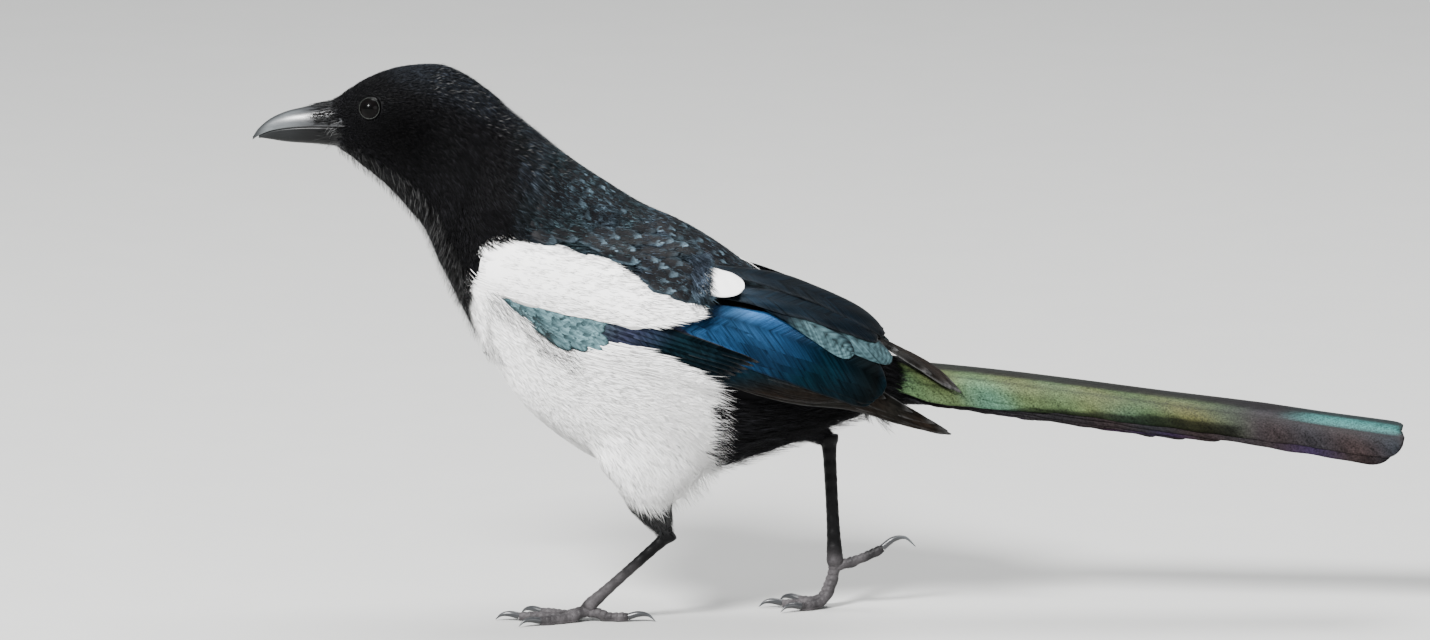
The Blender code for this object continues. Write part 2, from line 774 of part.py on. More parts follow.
class WingSurface:
    """The outer face of a folded wing, from its wrist (along 0) to its tips (along 1) and from its upper
    edge (across 0) to its lower edge (across 1): an arc through three guide curves."""

    def __init__(self, guides_mm, side):
        self.guides = [np.array(g, float) * MM for g in guides_mm]
        self.side = side

    def point(self, along, across):
        """The point of the face there, on straight runs beyond either end."""
        steps = len(self.guides[0]) - 1
        along_t = along * steps
        ends = []
        for guide in self.guides:
            if along_t < 0:
                ends.append(guide[0] + (guide[1] - guide[0]) * along_t)
            elif along_t > steps:
                ends.append(guide[-1] + (guide[-1] - guide[-2]) * (along_t - steps))
            else:
                ends.append(spline(guide, along_t))
        upper, middle, lower = ends
        a = across
        found = upper * (2 * a - 1) * (a - 1) + middle * 4 * a * (1 - a) + lower * a * (2 * a - 1)
        return np.array([found[0], found[1] * self.side, found[2]])

    def frame(self, along, across):
        """Point, outward normal and length of one unit across."""
        step = SURFACE_STEP
        here = self.point(along, across)
        ahead = self.point(along + step, across) - self.point(along - step, across)
        down = self.point(along, across + step) - self.point(along, across - step)
        normal = np.cross(ahead, down) * self.side
        normal /= np.linalg.norm(normal)
        return here, normal, np.linalg.norm(down) / (2 * step)


def slab(name, grid, normals, lifts, thickness):
    """A thin closed sheet whose faces are split into triangles alike. lifts raises it off the grid."""
    grid, normals, lifts = np.asarray(grid), np.asarray(normals), np.asarray(lifts)
    rows, columns = grid.shape[:2]
    top = grid + normals * (lifts + thickness / 2)[..., None]
    low = grid + normals * (lifts - thickness / 2)[..., None]
    count = rows * columns
    faces = []
    for i in range(rows - 1):
        for j in range(columns - 1):
            a, b = i * columns + j, i * columns + j + 1
            c, d = b + columns, a + columns
            faces += [(a, b, c), (a, c, d)]
            faces += [(count + a, count + c, count + b), (count + a, count + d, count + c)]
    rim = (
        [(0, j) for j in range(columns - 1)]
        + [(i, columns - 1) for i in range(rows - 1)]
        + [(rows - 1, j) for j in range(columns - 1, 0, -1)]
        + [(i, 0) for i in range(rows - 1, 0, -1)]
    )
    rim = [i * columns + j for i, j in rim]
    for a, b in zip(rim, rim[1:] + rim[:1]):
        faces += [(a, b, count + b), (a, count + b, count + a)]
    return add_mesh(name, np.concatenate([top.reshape(-1, 3), low.reshape(-1, 3)]), faces)


def front_sink(along):
    """How far the wing's front lies sunk under the breast's side."""
    return float(np.interp(along, FRONT_SINK_ALONG, (FRONT_SINK, 0.0)))


def vane_stations(root_along, tip_along):
    """Shares of a feather's length to draw it at: its ends, its shoulder and marks shared by the wing."""
    length = tip_along - root_along
    first = math.floor(root_along / STATION_STEP)
    last = math.ceil(tip_along / STATION_STEP)
    shares = [(i * STATION_STEP - root_along) / length for i in range(first, last + 1)]
    low, high = MARKS_USED
    return [0.0] + [s for s in shares if low < s < high] + [SHOULDER_STATION, 1.0]


def vane(name, surface, root, tip, half_width, lift, roundness):
    """A feather laid on the surface from root to tip, its tip rounded or pointed, its root sunk."""
    grid, normals, lifts = [], [], []
    for s in vane_stations(root[0], tip[0]):
        full = np.interp(s, *zip(*ROUND_OUTLINE))
        lean = np.interp(s, *zip(*POINTED_OUTLINE))
        share = roundness * full + (1 - roundness) * lean
        along = root[0] + (tip[0] - root[0]) * s
        across = root[1] + (tip[1] - root[1]) * s
        _, _, unit = surface.frame(along, across)
        reach = half_width * share / unit
        row, row_normals = [], []
        for offset in (-1.0, 0.0, 1.0):
            here, normal, _ = surface.frame(along, across + offset * reach)
            row.append(here)
            row_normals.append(normal)
        grid.append(row)
        normals.append(row_normals)
        sink = front_sink(along) + np.interp(s, (0, ROOT_SINK_SHARE), (ROOT_SINK, 0))
        lifts.append([lift - sink, lift + RACHIS_RISE - sink, lift - sink])
    return slab(name, grid, normals, lifts, VANE_THICKNESS)


def tier(surface, name, count, lowest, highest, bow, widths, lifts, roundness):
    """One row of feathers, from its lowest to its highest."""
    made = []
    for i in range(count):
        share = i / (count - 1)
        root_a, root_c, tip_a, tip_c = np.array(lowest) * (1 - share) + np.array(highest) * share
        tip_a += bow * (1 - (2 * share - 1) ** 2)
        half_width = np.interp(share, (0, 1), widths) * MM
        lift = np.interp(share, (0, 1), lifts) * MM
        made.append(vane(name, surface, (root_a, root_c), (tip_a, tip_c), half_width, lift, roundness))
    return made


def wing_slab(surface, name, reach, lift, thickness, rows=9, columns=6):
    """A slab that follows the wing's surface, to hold feathers together."""
    (start, end), (high, low) = reach
    grid, normals, lifts = [], [], []
    for i in range(rows):
        along = start + (end - start) * i / (rows - 1)
        frames = [surface.frame(along, across) for across in np.linspace(high, low, columns)]
        grid.append([f[0] for f in frames])
        normals.append([f[1] for f in frames])
        lifts.append([lift - front_sink(along)] * columns)
    return slab(name, grid, normals, lifts, thickness)


def wing_clearance(side):
    """What a wing's feathers keep out of: the body, the tail and the other wing's side."""
    cutters = [body_form("body clearance", GAP), tail_form("tail clearance", GAP)]
    far_end = MIDLINE_END_X if side > 0 else FAR_REACH
    low, high = (-FAR_REACH, GAP / 2) if side > 0 else (-GAP / 2, FAR_REACH)
    cutters.append(box("midline", (-FAR_REACH, low, 0), (far_end, high, FAR_REACH)))
    return cutters


def build_scapulars(word, surface, side):
    """The white shoulder feathers, laid over the wing's front on one smooth floor."""
    lift = SCAPULAR_FLOOR + SCAPULAR_CORE / 2
    holder = wing_slab(surface, "scapulars_" + word, SCAPULAR_REACH, lift, SCAPULAR_CORE, 5, 4)
    feathers = []
    for name, plan in SCAPULAR_TIERS.items():
        feathers += tier(surface, name, *plan)
    boolean(holder, "UNION", feathers, "MANIFOLD")
    below = SCAPULAR_FLOOR + GAP - FIELD_DEPTH / 2
    floor = wing_slab(surface, "floor", SCAPULAR_FIELD, below, FIELD_DEPTH, 7, 7)
    boolean(holder, "DIFFERENCE", [floor] + wing_clearance(side), "MANIFOLD")
    keep_largest(holder)
    simplify(holder)
    finish_node(holder, "scapulars_" + word, WHITE)


def build_wing(word, side, guides, tip_guides, plans):
    """A folded wing: its tiers of feathers fused on the folded arm and cut clear of the body."""
    surface = WingSurface(guides, side)
    tips = WingSurface(tip_guides, side)
    wing = wing_slab(surface, "wing_" + word, CORE_REACH, -CORE_THICKNESS / 2, CORE_THICKNESS)
    feathers = []
    for name, plan in plans.items():
        feathers += tier(tips if name == "primaries" else surface, name, *plan)
    boolean(wing, "UNION", feathers, "MANIFOLD")
    above = SCAPULAR_FLOOR + FIELD_DEPTH / 2
    ceiling = wing_slab(surface, "ceiling", SCAPULAR_FIELD, above, FIELD_DEPTH, 7, 7)
    boolean(wing, "DIFFERENCE", [ceiling] + wing_clearance(side), "MANIFOLD")
    keep_largest(wing)
    simplify(wing)
    finish_node(wing, "wing_" + word, WING_BLUE)
    build_scapulars(word, surface, side)


def tail_point(x, reach):
    """A point of the tail's arched, rolled upper face and its outward normal, at x and at reach from the
    ridge, which is negative on the near side."""
    ridge = np.array(TAIL_RIDGE_MM) * MM
    t = float(np.interp(x, ridge[:, 0], np.arange(len(ridge))))
    z = spline(ridge, t)[1]
    out = np.array([0, math.cos(TAIL_ROLL), math.sin(TAIL_ROLL)])
    up = np.array([TAIL_RIDGE_SLOPE, -math.sin(TAIL_ROLL), math.cos(TAIL_ROLL)])
    up /= np.linalg.norm(up)
    lean = reach / TAIL_ARCH_RADIUS
    normal = up * math.cos(lean) + out * math.sin(lean)
    return np.array([x, 0, z]) + (normal - up) * TAIL_ARCH_RADIUS, normal


def tail_form(name, swell):
    """A solid as wide as the tail, its arched top raised by swell."""
    rings = []
    for x in TAIL_FORM_STATIONS_MM:
        top = [tail_point(x * MM, reach * MM) for reach in TAIL_FORM_REACHES_MM]
        ring = [point + normal * swell for point, normal in top]
        rings.append(ring + [point - normal * TAIL_FORM_DEPTH for point, normal in top[::-1]])
    return loft(name, rings)


def tail_feather(pair, side):
    """One tail feather under the tail's upper face, each pair a layer lower than the one inside it."""
    tip_x, root_reach, tip_reach, half = np.array(TAIL_PAIRS_MM[pair]) * MM
    start = TAIL_FEATHER_ROOT_X
    depth = (pair + (0 if side < 0 else 0.5)) * TAIL_LAYER_STEP + TAIL_VANE_THICKNESS / 2
    grid, normals, lifts = [], [], []
    for s, share in TAIL_OUTLINE:
        x = start + (tip_x - start) * s
        middle = side * (root_reach + (tip_reach - root_reach) * s)
        row, row_normals = [], []
        for offset in (-1, -0.5, 0, 0.5, 1):
            here, normal = tail_point(x, middle + offset * half * share)
            row.append(here)
            row_normals.append(normal)
        grid.append(row)
        normals.append(row_normals)
        lifts.append([-depth] * len(row))
    return slab("tail feather", grid, normals, lifts, TAIL_VANE_THICKNESS)


def build_tail():
    """Six pairs of stepped tail feathers, the middle pair longest and on top, held by the rear coverts."""
    rings = []
    first, last = TAIL_CORE_MM[0][0], TAIL_CORE_MM[-1][0]
    for x, half, top, low in TAIL_CORE_MM:
        # The roll is full by half way along the coverts.
        roll = TAIL_ROLL * min(1.0, 2 * (x - first) / (last - first))
        centre = Vector((x, 0, (top + low) / 2)) * MM
        across = Vector((0, math.cos(roll), math.sin(roll))) * half * MM
        up = Vector((0, -math.sin(roll), math.cos(roll))) * (top - low) / 2 * MM
        rings.append(oval(centre, up, across, TAIL_CORE_SIDES))
    tail = loft("tail", rings)
    feathers = [tail_feather(pair, side) for pair in range(len(TAIL_PAIRS_MM)) for side in (-1, 1)]
    boolean(tail, "UNION", feathers, "MANIFOLD")
    boolean(tail, "DIFFERENCE", [body_form("clearance", GAP)], "MANIFOLD")
    keep_largest(tail)
    simplify(tail)
    finish_node(tail, "tail", TAIL_GREEN)


def section_tube(name, rows, side, sides=12):
    """A limb's form through flat-lying ovals given as centre and two half sizes."""
    rows = np.array(rows, float) * MM
    rings = []
    steps = 2 * (len(rows) - 1)
    values = [spline(rows, i / 2) for i in range(steps + 1)]
    for i, (x, out, z, along, across) in enumerate(values):
        ahead = values[min(i + 1, steps)][:3] - values[max(i - 1, 0)][:3]
        way = Vector((ahead[0], side * ahead[1], ahead[2])).normalized()
        lateral = Vector((0, 1, 0))
        lateral = (lateral - way * lateral.dot(way)).normalized()
        front = lateral.cross(way).normalized()
        centre = Vector((x, side * out, z))
        rings.append(oval(centre, front * along, lateral * across, sides))
    return loft(name, rings)


def toe_route(word, toe):
    """Points of a toe and of its claw in the bird's own space."""
    leg = LEGS[word]
    ankle = Vector((leg["ankle"][0], leg["side"] * leg["ankle"][1], 0)) * MM
    heading, route, claw = TOES[word][toe]
    turn = math.radians(heading) * -leg["side"]
    way = Vector((-math.cos(turn), math.sin(turn), 0))
    points = [ankle + way * d * MM + Vector((0, 0, z * MM)) for d, z in route]
    end_d, end_z = route[-1]
    nails = [ankle + way * (end_d + d) * MM + Vector((0, 0, (end_z + z) * MM)) for d, z in claw]
    return points, nails


def build_leg(word):
    """A feathered thigh, a bare shank with its heel, and a foot of four toes with their claws."""
    leg = LEGS[word]
    side = leg["side"]
    heel = Vector(leg["heel"]) * Vector((1, side, 1)) * MM
    ankle = Vector(leg["ankle"]) * Vector((1, side, 1)) * MM
    down = (ankle - heel).normalized()
    foot_top = ankle + down * ANKLE_MM[0][0] * MM
    course = [heel, heel + down * HEEL_LENGTH]
    course += [heel.lerp(foot_top, share) for share in SHANK_SHARES]
    course.append(foot_top - down * GAP)
    radii = [r * MM for r in SHANK_RADII_MM]

    thigh = section_tube("thigh_" + word, leg["thigh"], side)
    room = [
        body_form("clearance", GAP),
        sphere("joint", heel, HEEL_RADIUS + GAP, 12, 8),
        tube("shank room", course, [r + GAP for r in radii], 10),
    ]
    boolean(thigh, "DIFFERENCE", room)
    keep_largest(thigh)
    finish_node(thigh, "thigh_" + word, WHITE if word == "left" else BLACK)

    shank = tube("tarsus_" + word, course, radii, 10)
    boolean(shank, "UNION", [sphere("knob", heel, HEEL_RADIUS, 12, 8)])
    keep_largest(shank)
    finish_node(shank, "tarsus_" + word, SCALE)

    stem = [ankle + down * drop * MM for drop, _ in ANKLE_MM]
    foot = tube("foot_" + word, stem, [radius * MM for _, radius in ANKLE_MM], 10)
    toes, claws = [], []
    for place, toe in enumerate(TOES[word]):
        points, nails = toe_route(word, toe)
        points[0].z -= place * TOE_ROOT_STEP
        route = [spline([tuple(p) for p in points], t) for t in TOE_STATIONS]
        toes.append(tube("toe", route, [r * MM for r in TOE_RADII_MM], 8))
        claw_route = [spline([tuple(p) for p in nails], t) for t in CLAW_STATIONS]
        way = (Vector(claw_route[1]) - Vector(claw_route[0])).normalized()
        claw_route[0] = Vector(claw_route[0]) + way * GAP
        claw = tube("claw", claw_route, [r * MM for r in CLAW_RADII_MM], 6)
        claws.append((toe, claw))
    boolean(foot, "UNION", toes)
    boolean(foot, "DIFFERENCE", [below_floor()])
    keep_largest(foot)
    finish_node(foot, "foot_" + word, SCALE)
    for toe, claw in claws:
        boolean(claw, "DIFFERENCE", [below_floor()])
        keep_largest(claw)
        finish_node(claw, f"claw_{word}_{toe}", HORN)


def main():
    """Builds the whole bird in an empty file."""
    for found in list(bpy.data.objects):
        bpy.data.objects.remove(found)
    nodes = build_body()
    build_eyes(nodes["head"])
    build_bill()
    build_wing("left", -1, NEAR_GUIDES_MM, NEAR_GUIDES_MM, WING_TIERS)
    build_wing("right", 1, FAR_GUIDES_MM, FAR_TIP_GUIDES_MM, {**WING_TIERS, "primaries": FAR_PRIMARIES})
    build_tail()
    for word in LEGS:
        build_leg(word)


main()
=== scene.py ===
"""A Eurasian magpie's plumage, bill, eyes and legs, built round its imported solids.

The file is laid out as a Blender add-on and run as a script. Lengths are in metres unless a name ends in
_MM. The bird faces -X, its left side faces -Y and +Z is up.
"""

import functools
import math

import bpy
import numpy as np
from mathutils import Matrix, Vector


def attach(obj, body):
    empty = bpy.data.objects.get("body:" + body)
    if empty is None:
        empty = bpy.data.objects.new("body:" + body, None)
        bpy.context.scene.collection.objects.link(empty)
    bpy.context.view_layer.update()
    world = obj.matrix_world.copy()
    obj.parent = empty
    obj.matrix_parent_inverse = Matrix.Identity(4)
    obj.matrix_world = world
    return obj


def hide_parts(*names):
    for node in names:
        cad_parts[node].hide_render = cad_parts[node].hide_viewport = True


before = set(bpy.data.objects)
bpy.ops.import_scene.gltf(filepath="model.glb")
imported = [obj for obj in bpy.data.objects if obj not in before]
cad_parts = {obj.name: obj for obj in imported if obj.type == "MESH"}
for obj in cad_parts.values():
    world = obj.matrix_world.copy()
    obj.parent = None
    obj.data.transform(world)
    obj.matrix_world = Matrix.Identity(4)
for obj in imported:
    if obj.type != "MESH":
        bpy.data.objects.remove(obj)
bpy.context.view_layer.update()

bl_info = {
    "name": "Magpie Visual Model",
    "version": (1, 0, 0),
    "blender": (4, 5, 0),
    "location": "View3D > Sidebar > Magpie",
    "description": "Builds the plumage, bill, eyes and legs of a walking magpie",
    "category": "Add Mesh",
}

MM = 0.001
SIDES = {"left": -1.0, "right": 1.0}

# Each rib stands across the body, in mm: upper x and z, lower x and z, half width, height of the widest
# place as a share, and squareness. They run from the base of the bill to the root of the tail.
RIBS_MM = (
    (-185.9, 196.8, -185.9, 179.0, 7.8, 0.50, 2.1),
    (-179.1, 201.7, -179.8, 175.5, 11.0, 0.50, 2.1),
    (-171.6, 206.0, -173.8, 170.6, 14.2, 0.52, 2.1),
    (-162.9, 209.1, -167.1, 165.3, 16.4, 0.54, 2.1),
    (-153.6, 210.4, -161.1, 159.2, 17.6, 0.54, 2.1),
    (-144.2, 210.0, -155.4, 152.7, 18.0, 0.52, 2.0),
    (-135.6, 206.2, -150.9, 147.0, 18.4, 0.50, 2.0),
    (-127.3, 200.3, -147.6, 139.7, 19.4, 0.50, 2.0),
    (-117.6, 191.9, -143.8, 130.2, 21.4, 0.48, 2.0),
    (-108.2, 184.3, -138.9, 120.3, 24.2, 0.47, 2.0),
    (-97.3, 175.2, -132.9, 108.1, 27.6, 0.46, 2.0),
    (-84.9, 166.8, -124.7, 93.7, 30.8, 0.46, 2.0),
    (-70.3, 157.6, -113.1, 78.1, 33.0, 0.46, 2.1),
    (-55.6, 151.0, -98.1, 66.0, 34.2, 0.46, 2.1),
    (-41.9, 142.8, -82.3, 57.5, 34.0, 0.46, 2.1),
    (-27.5, 132.0, -61.7, 54.5, 32.0, 0.47, 2.1),
    (-12.5, 119.5, -41.1, 57.5, 27.5, 0.48, 2.1),
    (1.0, 110.5, -20.0, 65.0, 21.5, 0.50, 2.1),
    (14.5, 102.8, 14.0, 77.6, 14.6, 0.52, 2.0),
)

# Upper edge, middle and lower edge of each folded wing from the wrist to the tips, in mm: x, out, z.
WING_GUIDES_MM = {
    "left": (
        (
            (-124, 24, 142), (-96, 29, 143), (-60, 24, 138), (-20, 8.5, 127.5),
            (8, 5, 114.5), (24, 3.5, 101), (50, 2, 79),
        ),
        (
            (-124, 26, 133), (-97, 33.5, 129), (-60, 37.5, 120.5), (-20, 35, 110),
            (8, 28.5, 100), (24, 22, 91), (48, 13, 76),
        ),
        (
            (-124, 25, 122), (-95, 33, 109.5), (-60, 36, 99.5), (-20, 33.5, 88.3),
            (8, 28.8, 83.8), (25.5, 25, 77.2), (47, 20.8, 71.2),
        ),
    ),
    "right": (
        (
            (-124, 24, 142), (-96, 29, 143), (-60, 24, 137), (-20, 9, 126),
            (8, 6, 113.5), (23, 4, 102), (46, 3, 84),
        ),
        (
            (-124, 26, 133), (-97, 33.5, 129), (-60, 37.5, 121.5), (-20, 34, 112.5),
            (8, 26, 104), (23, 18, 96), (46, 10, 84),
        ),
        (
            (-124, 25, 122), (-95, 33, 111), (-60, 36, 102), (-20, 33, 95),
            (8, 27, 93), (25, 20, 88), (46, 14, 82),
        ),
    ),
    "right tips": (
        (
            (-124, 25, 128), (-95, 33, 118), (-60, 34, 112), (-20, 26, 113),
            (8, 12.5, 109), (26, -3.5, 98.4), (46, -16, 83.4),
        ),
        (
            (-124, 25, 125), (-95, 33, 114), (-60, 35, 107), (-20, 28, 108),
            (8, 16.5, 106.3), (29, 0, 99.6), (50, -13, 86),
        ),
        (
            (-124, 25, 122), (-95, 33, 110), (-60, 35, 103), (-20, 29.5, 103),
            (8, 19.5, 103), (32, 3.5, 99.2), (53, -10, 88.2),
        ),
    ),
}

# The thighs' sections from inside the body to the heel, in mm: x, out, z, half size along and across.
THIGHS_MM = {
    "left": (
        (-66.0, 14.0, 82, 18, 10), (-66.0, 15.5, 70, 21, 13), (-66.4, 16.5, 59, 19.5, 13),
        (-66.6, 17, 52.5, 14.4, 11.4), (-66.6, 17, 47.0, 9.6, 8.6), (-65.0, 17, 42.0, 6.6, 6.2),
        (-62.6, 17, 37.2, 4.4, 4.2), (-61.2, 17, 34.0, 3.4, 3.2),
    ),
    "right": (
        (-52, 14, 84, 24, 12), (-38, 15, 76, 20, 13), (-26, 16, 72, 14, 11.5),
        (-15, 16.5, 70.5, 8.4, 8.0), (-7, 16.5, 68.3, 5.4, 5.2), (-0.5, 16, 64.6, 3.4, 3.2),
    ),
}

# The tail's ridge from root to tip, in mm: x, z.
TAIL_RIDGE_MM = ((16.0, 98.4), (36.0, 94.2), (101.0, 86.3), (165.0, 78.1), (215.8, 70.8))
TAIL_ROLL = math.radians(20)
TAIL_ARCH = 24 * MM
# Each pair of tail feathers, innermost first, in mm: x of the tip, distance from the ridge at the root
# and at the tip, and half width.
TAIL_PAIRS_MM = (
    (215.8, 3.5, 5.0, 10.5), (212.0, 4.0, 10.0, 9.0), (150.5, 5.5, 8.8, 9.5),
    (138.0, 6.5, 9.4, 9.2), (126.5, 7.5, 10.0, 8.8), (80.0, 8.5, 10.5, 7.6),
)
TAIL_ROOT_MM = 18.1
TAIL_LENGTH_MM = 198
# Where the top pair's lit edge runs along the near side, in mm: x, y. Past it the near side is painted in
# shade.
TAIL_EDGE_MM = ((45, -14.5), (60, -12.3), (90, -10.2), (120, -9.3), (150, -9.3))
# The coverts that hold the tail's root, in mm: x, half width, top, bottom.
TAIL_CORE_MM = (
    (13.0, 14.2, 102.4, 78.0), (24.0, 13.6, 98.2, 79.4), (36.0, 12.6, 94.0, 81.0),
    (52.0, 11.8, 91.6, 83.2), (70.0, 10.4, 89.2, 84.6), (88.0, 7.6, 86.8, 84.6),
)

# The bill from tip to base, in mm: x, ridge, mouth line, keel, half width.
BILL_MM = (
    (-215.8, 182.2, 181.2, 180.9, 0.35), (-213.4, 185.6, 182.9, 182.1, 1.3),
    (-209.0, 189.2, 184.9, 181.6, 2.7), (-203.0, 191.9, 186.2, 180.7, 4.2),
    (-196.0, 193.6, 186.9, 180.2, 5.5), (-190.5, 194.9, 187.1, 179.9, 6.5),
    (-185.2, 196.0, 187.1, 179.4, 7.2), (-180.0, 196.6, 187.5, 178.8, 9.9),
)
LOWER_BILL_START = 0.96
BILL_GAP = 0.15 * MM

EYE_MM = (-171.0, 10.6, 194.9)
EYE_RADIUS = 4.8 * MM
EYE_FACING = (-0.28, 1.0, 0.12)
# A lid's rim: its ring's radius, its height over the eye's middle, and the radius of its section.
LID_REACH_MM, LID_RISE_MM, LID_RADIUS_MM = 3.95, 2.75, 0.25

# Legs, in mm as x, out, z: the heel and the ankle. Toes: heading in degrees, then the route from the
# ankle as distance and height, then the claw's route from the toe's end.
LEGS_MM = {"left": ((-61.0, 17, 33.4), (-90.5, 11.5, 5.6)), "right": ((0.0, 16, 63.6), (2.4, 15, 17.2))}
FLAT_TOE = ((0, 5.0), (4, 2.9), (9, 1.7), (16, 1.7), (20, 1.7))
MIDDLE_FLAT_TOE = ((0, 5.0), (5, 2.9), (11, 1.7), (20, 1.7), (26, 1.7))
HIND_FLAT_TOE = ((0, 5.0), (4, 2.9), (8, 1.7), (13, 1.7), (15, 1.7))
PUSHING_TOE = ((0, 17.2), (1.0, 11.0), (4.0, 4.2), (9.5, 1.7), (15, 1.7))
MIDDLE_PUSHING_TOE = ((0, 17.2), (1.5, 11.0), (5.0, 4.2), (12.0, 1.7), (20, 1.7))
HIND_LIFTED_TOE = ((0, 17.2), (5, 17.0), (10, 18.8), (15, 21.0), (18, 22.6))
CLAW_FLAT = ((0, 0.2), (3.6, 0.9), (6.6, 0.5), (8.8, -1.25))
CLAW_HIND_FLAT = ((0, 0.2), (4.0, 1.3), (7.6, 0.9), (10.2, -1.2))
CLAW_LIFTED = ((0, 0.4), (4.0, 3.4), (8.4, 4.0), (12.4, 0.6))
TOES = {
    "left": {
        "inner": (28, FLAT_TOE, CLAW_FLAT), "middle": (2, MIDDLE_FLAT_TOE, CLAW_FLAT),
        "outer": (-26, FLAT_TOE, CLAW_FLAT), "hind": (184, HIND_FLAT_TOE, CLAW_HIND_FLAT),
    },
    "right": {
        "inner": (30, PUSHING_TOE, CLAW_FLAT), "middle": (2, MIDDLE_PUSHING_TOE, CLAW_FLAT),
        "outer": (-28, PUSHING_TOE, CLAW_FLAT), "hind": (182, HIND_LIFTED_TOE, CLAW_LIFTED),
    },
}
SHANK_RADII_MM = (3.1, 2.9, 2.2, 2.0, 2.0, 2.2, 2.6, 2.2)
TOE_RADII_MM = (2.3, 2.0, 2.0, 1.75, 1.8, 1.75, 1.45)
CLAW_RADII_MM = (1.3, 1.2, 0.9, 0.5, 0.12)

# The markings in the side view, in mm as x and z. White lies inside the first outline on the body and
# inside the next two on the shoulder. Black feathers of the mantle droop inside the last one.
WHITE_BODY_MM = (
    (-160, 98), (-131, 104), (-133.5, 111), (-134.5, 118), (-133, 126), (-131, 133), (-128.4, 141),
    (-123.6, 145.8), (-116, 147), (-101, 145.8), (-86, 142.4), (-78.6, 140), (-71, 135), (-63.6, 129.4),
    (-48.6, 125.6), (-44, 122.6), (-42, 110), (-41.8, 93), (-40.3, 76), (-42.9, 59), (-48, 20), (-160, 20),
)
WHITE_SHOULDER_MM = (
    (-134, 127), (-131, 133), (-128.4, 141), (-123.6, 145.8), (-116, 147), (-101, 145.8), (-86, 142.4),
    (-78.6, 140), (-71, 135), (-63.6, 130), (-52.3, 127.4), (-46, 125), (-43.0, 121.6), (-56, 118.6),
    (-66, 116.4), (-75, 117), (-99.9, 121), (-122.4, 126.6), (-128.4, 121),
)
BLACK_MANTLE_MM = (
    (-134, 150), (-127, 143.5), (-116, 147.5), (-101, 146.5), (-86, 143), (-78.6, 140.6), (-71, 135.8),
    (-63.6, 130.4), (-52.3, 127.2), (-46.6, 124.4), (-43.2, 120.4), (-44.6, 129), (-46, 139), (-48, 152),
    (-80, 172), (-110, 195), (-134, 182),
)
# Loose feathers stand out along the chin and throat inside this outline.
THROAT_MM = (
    (-190, 186), (-181, 183), (-172, 180), (-162, 172), (-153, 160), (-144, 145), (-134, 124), (-128, 104),
    (-140, 104), (-152, 140), (-164, 162), (-178, 172), (-192, 178),
)
# White flank feathers overlap the wing's lower front inside this outline.
WHITE_FLANK_MM = (
    (-134, 127), (-122.4, 124.6), (-112, 117), (-106, 110), (-97, 105.5), (-88, 106), (-78, 109.8),
    (-66, 108.4), (-56, 104.5), (-48.5, 100.5), (-44, 96.5), (-41.6, 91), (-40.3, 76), (-43, 60), (-50, 50),
    (-58, 45), (-76, 45), (-82, 52), (-95, 62), (-112, 80), (-127, 98), (-133, 112),
)


def spline(rows, t):
    """Rows of values at t on a Catmull-Rom curve: the cubic Hermite blend of the two rows beside t, with
    slopes of half the step between each row's neighbours, and of the plain step at either end."""
    rows = np.asarray(rows, float)
    last = len(rows) - 1
    t = np.clip(np.asarray(t, float), 0, last)
    i = np.minimum(t.astype(int), last - 1)
    u = (t - i)[..., None]
    a, b = rows[i], rows[i + 1]
    start = np.where((i == 0)[..., None], b - a, (b - rows[np.maximum(i - 1, 0)]) / 2)
    end = np.where((i == last - 1)[..., None], b - a, (rows[np.minimum(i + 2, last)] - a) / 2)
    blend = (2 * u**3 - 3 * u**2 + 1) * a + (u**3 - 2 * u**2 + u) * start
    return blend + (3 * u**2 - 2 * u**3) * b + (u**3 - u**2) * end


def vec(x, y, z):
    """Points from three arrays that broadcast together."""
    return np.stack(np.broadcast_arrays(x, y, z), -1)


def unit(vectors):
    """Vectors scaled to length 1."""
    return vectors / np.maximum(np.linalg.norm(vectors, axis=-1, keepdims=True), 1e-12)


def smooth(low, high, x):
    """0 at low, 1 at high, and 3u^2 - 2u^3 between."""
    u = np.clip((np.asarray(x, float) - low) / (high - low), 0, 1)
    return u * u * (3 - 2 * u)


def blend(a, b, share):
    """a (1 - share) + b share, for colours and an array of shares."""
    return np.asarray(a) * (1 - share[..., None]) + np.asarray(b) * share[..., None]


def aft(low, high, points):
    """0 where x is low mm, 1 where it is high mm, and smooth between."""
    return smooth(low, high, points[..., 0] / MM)


def lattice(p_span, q_span, closed=False):
    """Two arrays of places over a rectangle, from two spans of start, end and count. closed leaves out the
    second span's end, which is where it starts again."""
    return np.meshgrid(np.linspace(*p_span), np.linspace(*q_span, endpoint=not closed), indexing="ij")


def value_at(value, points):
    """A number, or a function's value, over an array of points of any shape."""
    return value(points) if callable(value) else np.full(points.shape[:-1], float(value))


def waves(points, size, seed=0):
    """Soft values from -1 to 1: the mean of four sines of the place over size, along fixed, unlike ways."""
    draw = np.random.default_rng(seed)
    ways, phases = draw.normal(size=(4, 3)) / size, draw.uniform(0, 6.28, 4)
    return np.sin(points @ ways.T + phases).mean(-1)


def inside(points, outline_mm):
    """How far points lie inside an outline of the side view, in metres, and negative outside. It is the
    distance to the nearest edge, and its sign comes from the parity of the edges above the point."""
    corners = np.array(outline_mm) * MM
    place = points[..., ::2]
    near, odd = np.full(place.shape[:-1], np.inf), np.zeros(place.shape[:-1], bool)
    for a, b in zip(corners, np.roll(corners, -1, axis=0)):
        edge = b - a
        share = np.clip(((place - a) @ edge) / (edge @ edge), 0, 1)
        near = np.minimum(near, np.linalg.norm(place - a - share[..., None] * edge, axis=-1))
        if a[0] != b[0]:
            height = a[1] + (place[..., 0] - a[0]) * edge[1] / edge[0]
            odd ^= ((place[..., 0] < a[0]) != (place[..., 0] < b[0])) & (place[..., 1] < height)
    return np.where(odd, near, -near)


